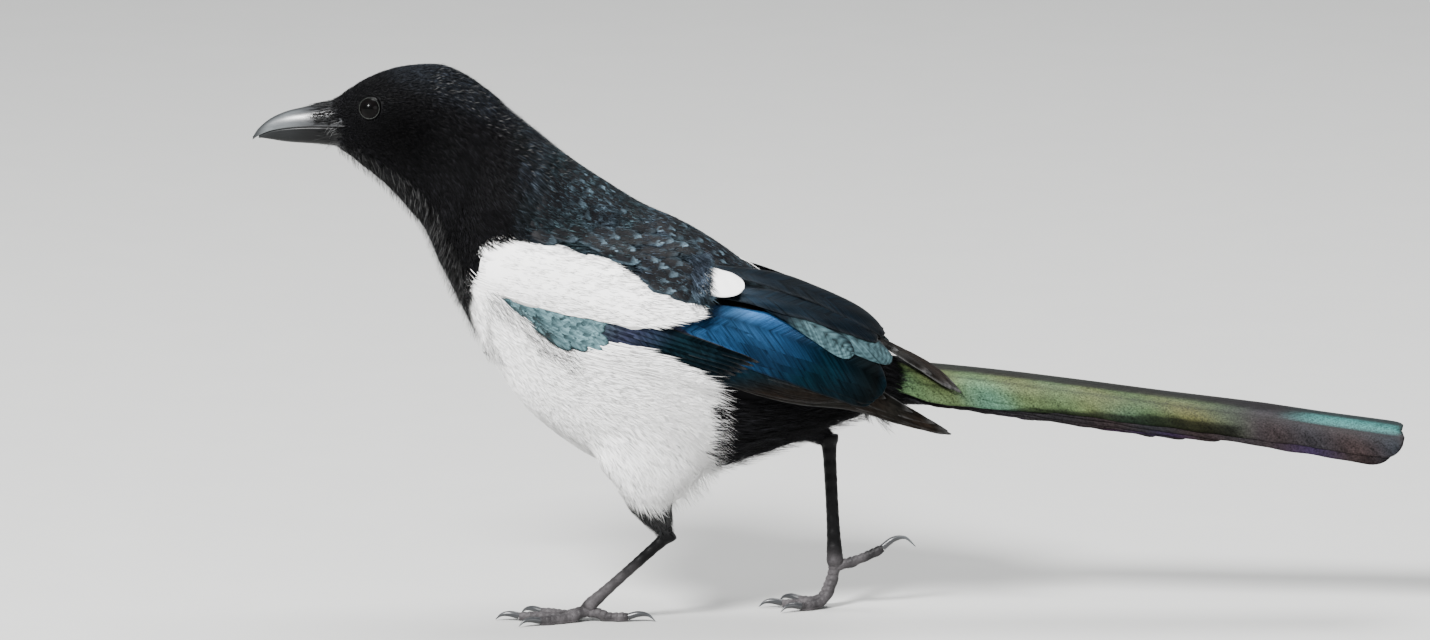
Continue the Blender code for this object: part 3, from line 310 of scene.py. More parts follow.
class Surface:
    """A surface of two parameters p and q, with the sign that turns its normal outwards."""

    def __init__(self, point, sign=1.0, step=0.01):
        self.point, self.sign, self.step = point, sign, step

    def frame(self, p, q):
        """Points, outward normals and the lengths of one unit of p and of q. The normal is the cross
        product of the central differences along p and along q."""
        d = self.step
        along = (self.point(p + d, q) - self.point(p - d, q)) / (2 * d)
        across = (self.point(p, q + d) - self.point(p, q - d)) / (2 * d)
        normal = unit(np.cross(along, across)) * self.sign
        return self.point(p, q), normal, np.linalg.norm(along, axis=-1), np.linalg.norm(across, axis=-1)


RIBS = np.array(RIBS_MM) * ((MM,) * 5 + (1, 1))
LAST_RIB = len(RIBS) - 1


def body_point(t, angle, swell=0.0):
    """The body at rib t: a squared ellipse, waist + up |cos a|^(2/s) reach + side |sin a|^(2/s) half,
    where reach is the rib's height over or under its waist. Past either end it runs straight on."""
    t, angle = np.broadcast_arrays(np.asarray(t, float), np.asarray(angle, float))
    top_x, top_z, low_x, low_z, half, waist, square = np.moveaxis(spline(RIBS, t), -1, 0)
    up = vec(top_x - low_x, 0, top_z - low_z)
    height = np.linalg.norm(up, axis=-1)
    c, s = np.cos(angle), np.sin(angle)
    reach = height * np.where(c > 0, 1 - waist, waist) + swell
    rise = height * waist + np.sign(c) * np.abs(c) ** (2 / square) * reach
    out = np.sign(s) * np.abs(s) ** (2 / square) * (half + swell)
    found = vec(low_x, out, low_z) + unit(up) * rise[..., None]
    front, back = (RIBS[0] - RIBS[1])[[0, 5, 1]] * (1, 0, 1), (RIBS[-1] - RIBS[-2])[[0, 5, 1]] * (1, 0, 1)
    return found + np.maximum(-t, 0)[..., None] * front + np.maximum(t - LAST_RIB, 0)[..., None] * back


def body(inset):
    """The body's surface, shrunk by inset, over rib and angle."""
    return Surface(lambda t, angle: body_point(t, angle, -inset), 1.0)


def wing(key, side):
    """A wing's outer face over along and across: each guide is read at along, and a parabola through the
    upper, middle and lower guide is read at across."""
    guides = [np.array(rows, float) * MM for rows in WING_GUIDES_MM[key]]

    def point(along, across):
        along, across = np.broadcast_arrays(np.asarray(along, float), np.asarray(across, float))
        t = along * (len(guides[0]) - 1)
        under, over = np.minimum(t, 0)[..., None], np.maximum(t - len(guides[0]) + 1, 0)[..., None]
        upper, middle, lower = (spline(g, t) + under * (g[1] - g[0]) + over * (g[-1] - g[-2]) for g in guides)
        a = across[..., None]
        found = upper * (2 * a - 1) * (a - 1) + middle * 4 * a * (1 - a) + lower * a * (2 * a - 1)
        return found * np.array([1, side, 1])

    return Surface(point, side)


def limb(word, inset):
    """A thigh over t along its sections and the angle round them: centre + front cos a along + lateral
    sin a across, square to the limb's way."""
    rows, side = np.array(THIGHS_MM[word], float) * MM, SIDES[word]

    def point(t, angle):
        t, angle = np.broadcast_arrays(np.asarray(t, float), np.asarray(angle, float))
        x, out, z, along, across = np.moveaxis(spline(rows, t), -1, 0)
        way = unit((spline(rows, t + 0.25) - spline(rows, t - 0.25))[..., :3] * np.array([1, side, 1]))
        lateral = unit(np.array([0, 1.0, 0]) - way * way[..., 1:2])
        front = np.cross(lateral, way)
        centre = vec(x, side * out, z) + np.maximum(t - len(rows) + 1, 0)[..., None] * way * 4 * MM
        reach, spread = (along - inset) * np.cos(angle), (across - inset) * np.sin(angle)
        return centre + front * reach[..., None] + lateral * spread[..., None]

    return Surface(point, -1.0, 0.02)


SIDE_CELL = 0.5 * MM
SIDE_LOW = np.array([-200.0, 30.0]) * MM
SIDE_CELLS = (560, 380)
FILLING_STEPS, AVERAGING_STEPS = 124, 6


@functools.cache
def flank(word):
    """The bird's side as a height over the side view: over each cell the farthest of the body, shrunk by
    its coat, the thigh and the padded wing. Many steps fill its hollows up to the mean of the neighbours,
    and a last few average it. It is read between cells in proportion. The pad lies where shoulder feathers
    cover the wing, and the wing's front edge sinks in."""
    side = SIDES[word]
    along, across = lattice((-0.05, 0.86, 800), (0.0, 1.0, 420))
    here, normal, _, _ = wing(word, side).frame(along, across)
    pad = smooth(0.46, 0.34, along) * smooth(0.74, 0.58, across)
    lift = (0.9 + 1.9 * pad) * MM + wing_lie(along, across)
    heights = np.zeros(SIDE_CELLS)
    outward = np.array([1, side, 1])
    trunk = body_point(*lattice((0, LAST_RIB, 1300), (0, math.pi, 700)), -COAT_INSET)
    thigh = limb(word, 0.6 * MM).point(*lattice((0, len(THIGHS_MM[word]) - 1, 260), (0, 6.28, 260))) * outward
    for points in (trunk, (here + normal * lift[..., None]) * outward, thigh):
        cells = ((points[..., ::2] - SIDE_LOW) / SIDE_CELL).round().astype(int).reshape(-1, 2)
        np.maximum.at(heights, (cells[:, 0], cells[:, 1]), points[..., 1].reshape(-1))
    for step in range(FILLING_STEPS + AVERAGING_STEPS):
        inner = heights[1:-1, 1:-1]
        around = (heights[:-2, 1:-1] + heights[2:, 1:-1] + heights[1:-1, :-2] + heights[1:-1, 2:]) / 4
        found = np.maximum(inner, around) if step < FILLING_STEPS else (inner + 4 * around) / 5
        heights[1:-1, 1:-1] = np.where(inner > 0, found, 0)

    def point(x, z):
        x, z = np.broadcast_arrays(np.asarray(x, float), np.asarray(z, float))
        place = (np.stack([x, z], -1) - SIDE_LOW) / SIDE_CELL
        cell = np.clip(place.astype(int), 0, np.array(SIDE_CELLS) - 2)
        u, v = np.moveaxis(np.clip(place - cell, 0, 1), -1, 0)
        i, j = cell[..., 0], cell[..., 1]
        low = heights[i, j] * (1 - u) + heights[i + 1, j] * u
        high = heights[i, j + 1] * (1 - u) + heights[i + 1, j + 1] * u
        return vec(x, side * (low * (1 - v) + high * v), z)

    return Surface(point, -side, 1.0 * MM)


def raised(surface, rise):
    """The surface moved out along its normals by rise in mm, a function of the point."""
    def point(p, q):
        here, normal, _, _ = surface.frame(p, q)
        return here + normal * (rise(here) * MM)[..., None]

    return Surface(point, surface.sign, surface.step)


def over_flank(points):
    """How far the plumage over the side stands outside points of the body, at the same place in the side
    view. It is large where a wing covers them."""
    left, right = (np.abs(flank(word).point(points[..., 0], points[..., 2])[..., 1]) for word in SIDES)
    return np.where(points[..., 1] < 0, left, right) - np.abs(points[..., 1])


def tail_point(x, reach):
    """The tail's upper face: an arch about the ridge line, rolled towards the near side. The ridge is a
    Catmull-Rom curve of x, and reach runs round the arch, negative on the near side."""
    x, reach = np.broadcast_arrays(np.asarray(x, float), np.asarray(reach, float))
    ridge = np.array(TAIL_RIDGE_MM) * MM
    z = spline(ridge, np.interp(x, ridge[:, 0], np.arange(len(ridge))))[..., 1]
    z = z - 0.145 * np.maximum(x - ridge[-1, 0], 0)
    out = np.array([0, math.cos(TAIL_ROLL), math.sin(TAIL_ROLL)])
    up = unit(np.array([0.12, -math.sin(TAIL_ROLL), math.cos(TAIL_ROLL)]))
    lean = (reach / TAIL_ARCH)[..., None]
    return vec(x, 0, z) + (up * (np.cos(lean) - 1) + out * np.sin(lean)) * TAIL_ARCH


def tail_core_point(t, angle):
    """The tail's rear coverts: an oval round the middle of each section, rolled with the tail."""
    x, half, top, low = np.moveaxis(spline(np.array(TAIL_CORE_MM) * MM, t), -1, 0)
    roll = TAIL_ROLL * np.minimum(1.0, 0.4 * np.asarray(t, float))
    up = vec(0, -np.sin(roll), np.cos(roll)) * ((top - low) / 2)[..., None]
    out = vec(0, np.cos(roll), np.sin(roll)) * half[..., None]
    return vec(x, 0, (top + low) / 2) + up * np.cos(angle)[..., None] + out * np.sin(angle)[..., None]


def narrow_core_point(t, angle):
    """The tail's rear coverts, drawn in towards their middle and let down behind the body."""
    here = tail_core_point(t, angle)
    middle = (here + tail_core_point(t, angle + math.pi)) / 2
    share = 1 - 0.42 * smooth(0.3, 1.2, np.asarray(t, float))[..., None]
    return middle + (here - middle) * share - vec(0, 0, 1.5 * MM * smooth(0.6, 1.4, t))


def bill_point(t, angle, lower=False):
    """Half the bill at row t: an arch from one edge of the mouth to the other, with half |cos a|^m across
    and rise sin^n a up, or down for the lower half, which is a little narrower."""
    t, angle = np.broadcast_arrays(np.asarray(t, float), np.asarray(angle, float))
    x, ridge, mouth, keel, half = np.moveaxis(spline(np.array(BILL_MM) * MM, t), -1, 0)
    c, s = np.cos(angle), np.clip(np.sin(angle), 0, 1)
    if lower:
        depth = np.maximum(mouth - keel, 0.4 * MM)
        return vec(x, half * 0.94 * np.sign(c) * np.abs(c) ** 0.8, mouth - BILL_GAP - depth * s**0.9)
    return vec(x, half * np.sign(c) * np.abs(c) ** 0.85, mouth + BILL_GAP + (ridge - mouth) * s**1.05)


def facing_out(points, faces):
    """The faces, turned round if the closed surface's signed volume is negative."""
    volume = 0.0
    for f in faces:
        for k in range(2, f.shape[1]):
            a, b, c = points[f[:, 0]], points[f[:, k - 1]], points[f[:, k]]
            volume += np.einsum("ij,ij->i", a, np.cross(b, c)).sum()
    return faces if volume > 0 else [f[:, ::-1] for f in faces]


def tube(rings):
    """Points and faces of a closed tube through an array of rings, its two ends closed as fans."""
    rings = np.asarray(rings, float)
    rows, columns = rings.shape[:2]
    i, j = np.meshgrid(np.arange(rows - 1), np.arange(columns), indexing="ij")
    k = (j + 1) % columns
    quads = np.stack([i * columns + j, i * columns + k, (i + 1) * columns + k, (i + 1) * columns + j], -1)
    ring = np.arange(columns)
    after, last, count = (ring + 1) % columns, (rows - 1) * columns, rows * columns
    start = np.stack([after, ring, np.full(columns, count)], -1)
    end = np.stack([ring + last, after + last, np.full(columns, count + 1)], -1)
    points = np.concatenate([rings.reshape(-1, 3), rings[:1].mean(1), rings[-1:].mean(1)])
    return points, facing_out(points - points.mean(0), [quads.reshape(-1, 4), np.concatenate([start, end])])


def route(course, radii, sides=20, steps=60, up=(0, 0, 1), shape=None):
    """A round bar along a smooth course: at each of its stations the ring is centre + side cos a radius +
    lift sin a radius, times shape(distance, a) where one is given."""
    t = np.linspace(0, len(course) - 1, steps)
    centre = spline(course, t)
    radius = spline(np.asarray(radii, float)[:, None], t * (len(radii) - 1) / (len(course) - 1))
    way = unit(np.gradient(centre, axis=0))
    side = unit(np.cross(way, np.array(up, float)))
    lift = np.cross(side, way)
    distance = np.concatenate([[0], np.linalg.norm(np.diff(centre, axis=0), axis=1).cumsum()])[:, None]
    a = np.linspace(0, 2 * math.pi, sides, endpoint=False)[None]
    reach = radius * (shape(distance, a) if shape else 1 + 0 * a)
    ring = side[:, None] * (np.cos(a) * reach)[..., None] + lift[:, None] * (np.sin(a) * reach)[..., None]
    return tube(centre[:, None] + ring)


def joined(solids):
    """Several points-and-faces pairs as one."""
    offsets = np.cumsum([0] + [len(points) for points, _ in solids])
    faces = [f + offset for (_, group), offset in zip(solids, offsets) for f in group]
    return np.concatenate([points for points, _ in solids]), faces


def repeated(pattern, count, stride):
    """A face pattern repeated count times, each with its points stride farther on."""
    pattern = np.asarray(pattern)
    return (pattern[None] + (np.arange(count) * stride)[:, None, None]).reshape(-1, pattern.shape[1])


def placed(name, data):
    """A new object of that name for its data, in the scene."""
    found = bpy.data.objects.new(name, data)
    bpy.context.scene.collection.objects.link(found)
    return found


def add_piece(name, points, faces, look, replaced=(), colour=0.0, numbers=None, maps=None,
              map_faces=None):
    """Adds a piece from an array of points and a list of face arrays. colour and numbers hold a value for
    each point, and maps hold UV places for the points that map_faces name. look is the key of its material.
    It rides on the bird and stands for the replaced nodes."""
    mesh = bpy.data.meshes.new(name)
    points = np.asarray(points, np.float32).reshape(-1, 3)
    mesh.vertices.add(len(points))
    mesh.vertices.foreach_set("co", points.ravel())
    corners = np.concatenate([f.ravel() for f in faces]).astype(np.int32)
    sizes = np.concatenate([np.full(len(f), f.shape[1]) for f in faces])
    mesh.loops.add(len(corners))
    mesh.loops.foreach_set("vertex_index", corners)
    mesh.polygons.add(len(sizes))
    mesh.polygons.foreach_set("loop_start", np.concatenate([[0], np.cumsum(sizes)[:-1]]).astype(np.int32))
    mesh.update(calc_edges=True)
    mesh.shade_smooth()
    drawn = corners if map_faces is None else np.concatenate([f.ravel() for f in map_faces])
    for key, places in (maps or {}).items():
        layer = mesh.uv_layers.new(name=key)
        layer.data.foreach_set("uv", np.asarray(places, np.float32).reshape(-1, 2)[drawn].ravel())
    values = np.ones((len(points), 4), np.float32)
    values[:, :3] = colour
    mesh.color_attributes.new("Tint", "FLOAT_COLOR", "POINT").data.foreach_set("color", values.ravel())
    for key, values in {"Gloss": 0.0, "Draw": 0.0, **(numbers or {})}.items():
        values = np.broadcast_to(np.asarray(values, np.float32), len(points))
        mesh.attributes.new(key, "FLOAT", "POINT").data.foreach_set("value", np.ascontiguousarray(values))
    mesh.materials.append(look_of(look))
    piece = placed(name, mesh)
    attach(piece, "root")
    if replaced:
        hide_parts(*replaced)


def blade_points(surface, p, q, way, length, width, lift, stations, bend):
    """Thin blades that taper from root to tip, from arrays with a value for each. From its root a blade
    steps over the surface at the angle way, turning by bend, and rises over it by
    lift (s^0.7 - 0.35 (1 - s)^2). Its section is a flat triangle of half width
    width (0.35 + 0.65 (1 - s^2)^0.5), and it ends in a point."""
    s = np.linspace(0, 1, stations)
    way, length, width, lift, bend = (v[:, None] for v in (way, length, width, lift, bend))
    _, _, unit_p, unit_q = surface.frame(p, q)
    angle = way + bend * s
    step = length * np.diff(s, prepend=0)
    pp = p[:, None] + np.cumsum(np.cos(angle) * step, 1) / unit_p[:, None]
    qq = q[:, None] + np.cumsum(np.sin(angle) * step, 1) / unit_q[:, None]
    here, normal, _, _ = surface.frame(pp, qq)
    centre = here + normal * (lift * (s**0.7 - 0.35 * (1 - s) ** 2))[..., None]
    side = unit(np.cross(normal, np.gradient(centre, axis=1)))
    half = (width * (0.35 + 0.65 * np.sqrt(np.clip(1 - s[:-1] ** 2, 0, 1))))[..., None]
    base, out, up = centre[:, :-1], side[:, :-1] * half, normal[:, :-1] * half * 0.3
    rings = np.stack([base + out, base - out, base + up], 2).reshape(len(p), -1, 3)
    return np.concatenate([rings, centre[:, -1:]], 1)


def blade_faces(count, stations):
    """Triangles of the blades: three sides between rings, a cap at the root and a point at the tip."""
    pattern = [(0, 1, 2)]
    for a in range(0, 3 * (stations - 2), 3):
        for j, k in ((0, 2), (2, 1), (1, 0)):
            pattern += [(a + j, a + k, a + 3 + k), (a + j, a + 3 + k, a + 3 + j)]
    a = 3 * (stations - 2)
    pattern += [(a, a + 2, a + 3), (a + 2, a + 1, a + 3), (a + 1, a, a + 3)]
    return repeated(pattern, count, 3 * (stations - 1) + 1)


# Shares that place points evenly over a square when each point steps by them.
SCATTER_STEPS = (0.7548776662, 0.5698402910)
# Cells larger than the median by this factor count as steep.
STEEP = 3.0


def scatter(surface, p_range, q_range, density, seed):
    """Root places over a rectangle of the surface: points of a lattice stepped by two irrational shares,
    each kept where a fixed random draw is under its density times the area of a unit cell, over the
    greatest such value. Cells much larger than most are steep and get no more than their share."""
    here, _, unit_p, unit_q = surface.frame(*lattice((*p_range, 60), (*q_range, 60)))
    size = unit_p * unit_q
    limit = STEEP * np.median(size[size > 0])
    most = (density(here) * np.minimum(size, limit)).max()
    count = int(most * (p_range[1] - p_range[0]) * (q_range[1] - q_range[0]))
    i = np.arange(1, count + 1)
    p = p_range[0] + (p_range[1] - p_range[0]) * (i * SCATTER_STEPS[0] % 1)
    q = q_range[0] + (q_range[1] - q_range[0]) * (i * SCATTER_STEPS[1] % 1)
    here, _, unit_p, unit_q = surface.frame(p, q)
    wanted = density(here) * np.minimum(unit_p * unit_q, limit)
    kept = np.random.default_rng(seed).random(count) * most < wanted
    return p[kept], q[kept], here[kept]


def tufts(surface, p_range, q_range, density, length, way=0.0, width=0.16, lift=1.0, stations=3, seed=0,
          tint=None, keep=None, curl=0.25, gloss=0.3, root_shade=0.62, spread=0.30):
    """One field of blades over a rectangle of a surface, as points, faces, colours, gloss, draws and
    places on an unwrap. Numbers or functions of the root's point give the density per square mm, the
    length, width and lift in mm, and the way as an angle. tint gives each blade's colour at the middle of
    its length and keep tells which blades stay."""
    p, q, here = scatter(surface, p_range, q_range, lambda found: value_at(density, found) / MM**2, seed)
    draw = np.random.default_rng(seed + 1).random((4, len(p)))
    long = value_at(length, here) * MM * (0.75 + 0.5 * draw[0])
    ways = value_at(way, here) + (draw[1] - 0.5) * spread
    wide = value_at(width, here) * MM * (0.8 + 0.4 * draw[2])
    rise = value_at(lift, here) * MM * (0.7 + 0.6 * draw[3])
    points = blade_points(surface, p, q, ways, long, wide, rise, stations, (draw[0] - 0.5) * curl)
    middle = points[:, 3 * (stations // 2)] * 0.6 + points[:, -1] * 0.4
    kept = keep(middle, here) if keep else np.ones(len(p), bool)
    points, middle, draw, here = points[kept], middle[kept], draw[:, kept], here[kept]
    s = np.append(np.repeat(np.linspace(0, 1, stations)[:-1], 3), 1.0)
    # Painted shade: each blade is darker towards its root, deep in the coat, by root_shade.
    colour = tint(middle, draw[3])[:, None] * (root_shade + (1.05 - root_shade) * s)[:, None]
    corner = np.append(np.tile([1.0, -1.0, 0.0], stations - 1), 0.0) * 0.0015
    u = (p[kept] - p_range[0]) / (p_range[1] - p_range[0]) * 0.99 + 0.005
    v = (q[kept] - q_range[0]) / (q_range[1] - q_range[0]) * 0.99 + 0.005
    places = np.stack([u[:, None] + corner, v[:, None] + (s - 0.5) * 0.003], -1)
    shape = points.shape[:2]
    return {
        "solid": (points.reshape(-1, 3), [blade_faces(len(points), stations)]),
        "colour": colour.reshape(-1, 3),
        "gloss": np.broadcast_to(value_at(gloss, here)[:, None], shape).ravel(),
        "draw": np.broadcast_to(draw[2][:, None], shape).ravel(),
        "bake": places.reshape(-1, 2),
        "map_faces": [blade_faces(len(points), stations)],
    }


def outline(s, roundness, tip, root):
    """A feather's share of its half width at s: it widens from a narrow root, and its last part is a blunt
    arc for roundness 1 or a long taper for 0."""
    blunt = np.sqrt(np.clip(1 - np.clip((s - 1 + tip) / tip, 0, 1) ** 2.4, 0, 1))
    sharp = (1 - np.clip((s - 0.30) / 0.70, 0, 1) ** 1.7) ** 0.8
    widening = root + (1 - root) * smooth(0, 0.35, s)
    return np.maximum(widening * (roundness * blunt + (1 - roundness) * sharp), 0.04)


def vanes(surface, roots, tips, half, lift, tint, roundness=1.0, stations=14, columns=7, thickness=0.22,
          camber=0.10, sink=1.0, bow=0.0, seed=0, lie=None, ragged=0.03, tip=0.2, root=0.45, gloss=0.5):
    """Feathers laid on a surface from root to tip, each a closed sheet, with sizes in mm. At s along and w
    across, a point lies to the side of the centre line by half outline(s) w, and over the surface by lift
    + camber half (1 - w^2) + a ridge over the shaft - sink near the root. Soft noise draws the edge in and
    out. tint gives the colours from points, s, w and a draw for each feather."""
    draw = np.random.default_rng(seed)
    roots, tips = np.atleast_2d(roots).astype(float), np.atleast_2d(tips).astype(float)
    count = len(roots)
    scaled = ((half, MM), (lift, MM), (bow, 1))
    half, lift, bow = (np.broadcast_to(np.asarray(v, float) * k, (count,)) for v, k in scaled)
    s = 1 - (1 - np.linspace(0, 1, stations)) ** 1.3
    w = np.sin(np.linspace(-1, 1, columns) * math.pi / 2) * 0.4 + np.linspace(-1, 1, columns) * 0.6
    centre = roots[:, None] + (tips - roots)[:, None] * s[None, :, None]
    p, q = centre[..., 0], centre[..., 1] + bow[:, None] * 4 * s * (1 - s)
    _, _, unit_p, unit_q = surface.frame(p, q)
    run, climb = np.gradient(p, axis=1) * unit_p, np.gradient(q, axis=1) * unit_q
    size = np.hypot(run, climb)
    over_p, over_q = -climb / size / unit_p, run / size / unit_q
    phase = draw.uniform(0, 6.28, (count, 1, 1))
    row, edge = s[:, None], np.abs(w)
    coarse = np.sin(row * 37 + phase) * np.sin(row * 11 + 3 * phase)
    waver = 1 + ragged * edge * (coarse - 0.4 * edge * np.sin(row * 83 + phase * 5))
    reach = (half[:, None] * outline(s, roundness, tip, root))[..., None] * waver * w
    p_here, q_here = p[..., None] + reach * over_p[..., None], q[..., None] + reach * over_q[..., None]
    here, normal, _, _ = surface.frame(p_here, q_here)
    rise = lift[:, None, None] + camber * half[:, None, None] * (1 - w * w) * smooth(0, 0.3, s)[:, None]
    rise = rise + (0.10 * np.exp(-((w / 0.1) ** 2)) * (1 - row) - sink * (1 - smooth(0, 0.2, row))) * MM
    rise = rise + 0.08 * MM * np.sin(row * 19 + w * 5 + phase)
    if lie is not None:
        rise = rise + lie(p, q)[..., None]
    depth = thickness * MM * (1 - 0.6 * w**4) / 2
    points = np.stack([here + normal * (rise + face * depth)[..., None] for face in (1, -1)], 1)
    shape = points.shape[:-1]
    length = np.linalg.norm(np.diff(points[:, 0, :, columns // 2], axis=1), axis=-1).cumsum(1)
    v = np.concatenate([np.zeros((count, 1)), length], 1)[:, None, :, None]
    each = np.broadcast_to(draw.random(count)[:, None, None, None], shape)
    s_full, w_full = np.broadcast_to(row, shape), np.broadcast_to(w, shape)
    places = np.stack([np.broadcast_to(reach[:, None], shape), np.broadcast_to(v, shape)], -1)
    faces, map_faces = sheet_faces(count, stations, columns, surface.sign)
    return {
        "solid": (points.reshape(-1, 3), [faces]),
        "colour": tint(points, s_full, w_full, each).reshape(-1, 3),
        "gloss": np.broadcast_to(gloss, shape).ravel(),
        "draw": each.ravel(),
        "vane": places.reshape(-1, 2),
        "cell": (count, np.broadcast_to(np.array([0.0, 1.0])[:, None, None], shape), s_full, w_full),
        "map_faces": [map_faces],
    }


def sheet_faces(count, rows, columns, sign):
    """Quads of closed sheets: the upper face, the lower face turned round, and the rim between. The second
    array draws the rim on the upper face's edge, so that it takes no room on a UV map."""
    i, j = (a.ravel() for a in np.meshgrid(np.arange(rows - 1), np.arange(columns - 1), indexing="ij"))
    a, under = i * columns + j, rows * columns
    top = np.stack([a, a + columns, a + columns + 1, a + 1], -1)
    across, down = np.arange(columns - 1), np.arange(rows - 1) * columns
    last, right = across + (rows - 1) * columns, down + columns - 1
    starts = np.concatenate([across, last + 1, down + columns, right])
    ends = np.concatenate([across + 1, last, down, right + columns])
    rim = np.stack([starts, ends, ends + under, starts + under], -1)
    flat = np.stack([starts, ends, ends, starts], -1)
    found = [np.concatenate([top, top[:, ::-1] + under, side]) for side in (rim, flat)]
    if sign < 0:
        found = [f[:, ::-1] for f in found]
    return [repeated(f, count, 2 * under) for f in found]


def slab(surface, p_range, q_range, lift, thickness, lie, colour):
    """A closed sheet that follows a surface over a rectangle, in mm over it, as one more field."""
    p, q = lattice((*p_range, 24), (*q_range, 14))
    here, normal, _, _ = surface.frame(p, q)
    rise = lift * MM + lie(p, q)
    top, low = (here + normal * (rise + face * thickness * MM / 2)[..., None] for face in (1, -1))
    return solid_field(tube(np.concatenate([top, low[:, ::-1]], axis=1)), colour)


def solid_field(solid, colour, gloss=0.1):
    """A closed solid as a field of one colour, drawn small in a corner of the UV map."""
    points, faces = solid
    size = np.abs(points).max()
    return {
        "solid": solid, "colour": np.broadcast_to(colour, points.shape), "gloss": np.full(len(points), gloss),
        "draw": np.full(len(points), 0.5), "vane": points[:, [1, 0]], "map_faces": faces,
        "bake": 0.992 + 0.007 * points[:, ::2] / size,
    }


def add_fields(name, fields, look, replaced=()):
    """One piece from several fields of blades, feathers or solids. Feathers share a square sheet of the
    bake map, each in its own cell with its two faces side by side. Blades keep their unwrap."""
    cells = math.ceil(math.sqrt(sum(f["cell"][0] for f in fields if "cell" in f) or 1))
    first = 0
    for f in fields:
        if "cell" in f:
            count, face, s, w = f["cell"]
            number = (np.arange(count) + first)[:, None, None, None]
            first += count
            u = (number % cells + 0.03 + face * 0.49 + 0.43 * (w + 1) / 2) / cells
            v = (number // cells + 0.03 + 0.94 * s) / cells
            f["bake"] = np.stack([u, v], -1).reshape(-1, 2) * 0.985
        f.setdefault("vane", np.zeros((len(f["colour"]), 2)))
    points, faces = joined([f["solid"] for f in fields])
    _, map_faces = joined([(f["solid"][0], f["map_faces"]) for f in fields])
    keys = ("gloss", "draw", "bake", "vane", "colour")
    gloss, draw, bake, vane, colour = (np.concatenate([f[key] for f in fields]) for key in keys)
    numbers, maps = {"Gloss": gloss, "Draw": draw}, {"OFBake": bake, "Vane": vane}
    add_piece(name, points, faces, look, replaced, colour, numbers, maps, map_faces)


def srgb(*values):
    """A linear colour from 0-255 screen values: ((c + 0.055) / 1.055)^2.4."""
    return ((np.array(values) / 255 + 0.055) / 1.055) ** 2.4


def colours():
    """The scene's colours as arrays of three."""
    group = bpy.context.scene.magpie_colours
    return {key: np.array(getattr(group, key)[:3]) for key in MagpieColours.__annotations__}


def scallop_sheen(points):
    """Painted sheen on the ends of small overlapping feathers in the side view, from 0 to 1: arcs in staggered
    cells that lie down the back, each cell of its own strength."""
    x, z = points[..., 0], points[..., 2]
    u = (0.913 * x - 0.408 * z + 0.9 * MM * waves(points, 3 * MM, 21)) / (6.4 * MM)
    v = (0.408 * x + 0.913 * z + 0.9 * MM * waves(points, 3 * MM, 22)) / (4.4 * MM) + 0.5 * (np.floor(u) % 2)
    arc = 0.86 - 1.6 * (v % 1 - 0.5) ** 2
    strength = np.sin(np.floor(u) * 12.99 + np.floor(v) * 78.23) * 43758.5 % 1
    return np.exp(-(((u % 1 - arc) / 0.15) ** 2)) * (0.15 + 0.85 * strength)


def throat_share(points):
    """How much points belong to the throat's loose feathers."""
    return smooth(-2 * MM, 3 * MM, inside(points, THROAT_MM))


def mantle_share(points):
    """How much points belong to the mantle."""
    return aft(-122, -84, points) * smooth(114, 128, points[..., 2] / MM)


def black_zones(points):
    """How much points belong to the dull face and to the crown, which gets a painted sheen."""
    x, z = points[..., 0] / MM, points[..., 2] / MM
    face = np.exp(-(((x + 160) / 17) ** 2) - ((z - 186) / 15) ** 2)
    return face, smooth(196, 207, z + 0.45 * (x + 150)) * (1 - face)


def black_tint(points, draw):
    """Black plumage: a painted blue-grey sheen on crown and mantle, deepest on the face, with painted glints
    as pale flecks on the throat and nape."""
    found = colours()
    face, crown = black_zones(points)
    mantle = mantle_share(points)
    tone = blend(found["black"], found["face_black"], face)
    # Painted sheen: the crown, and the mantle in arcs along its feathers' ends, blend towards paler sheen
    # colours.
    tone = blend(tone, found["crown_gloss"], 0.75 * crown)
    sheen = found["mantle_gloss"] * (1 + waves(points, 7 * MM, 25)[..., None] * np.array([0.12, -0.04, 0.12]))
    tone = blend(tone, sheen, mantle * np.clip(0.10 + 0.2 * draw**2 + 0.6 * scallop_sheen(points), 0, 1))
    # Painted glints: a few blades are painted paler, most of them on the throat.
    painted_glint = smooth(0.88, 0.97, draw) * (2.2 + 4.5 * throat_share(points)) * (1 - face)
    return tone * ((0.45 + 0.8 * draw + painted_glint) * (1 - 0.6 * mantle) + 0.6 * mantle)[..., None]


def black_gloss(points):
    """How glossy black plumage is: most on the mantle, least on the face."""
    face, crown = black_zones(points)
    return np.clip(0.22 * (1 - face) + 0.15 * crown + 0.4 * mantle_share(points), 0, 1)


def white_share(points):
    """How white plumage is at points, from 0 to 1: the outline's distance, softened and frayed."""
    fray = waves(points, 1.6 * MM, 5) * 0.5 * MM
    return smooth(-0.8 * MM, 0.8 * MM, inside(points, WHITE_BODY_MM) + fray)


def white_tint(points, draw):
    """White plumage, a little greyer and warmer in soft patches."""
    found = colours()
    shade = smooth(-0.2, 1.0, waves(points, 9 * MM, 7)) * 0.5
    return blend(found["white"], found["white_shade"], shade) * (0.95 + 0.05 * draw)[..., None]


def body_tint(points, draw):
    """The body's plumage: black and white meet along the outline of the white parts."""
    return blend(black_tint(points, draw), white_tint(points, draw), white_share(points))


def thigh_tint(word):
    """A function for a thigh's colours: white above and black below on the near side, all black on the far
    side behind the belly."""
    def tint(points, draw):
        height = points[..., 2] / MM + 1.5 * waves(points, 2 * MM, 9)
        share = smooth(43.5, 47.5, height) if word == "left" else aft(-40, -43, points)
        return blend(black_tint(points, draw), white_tint(points, draw), share)

    return tint


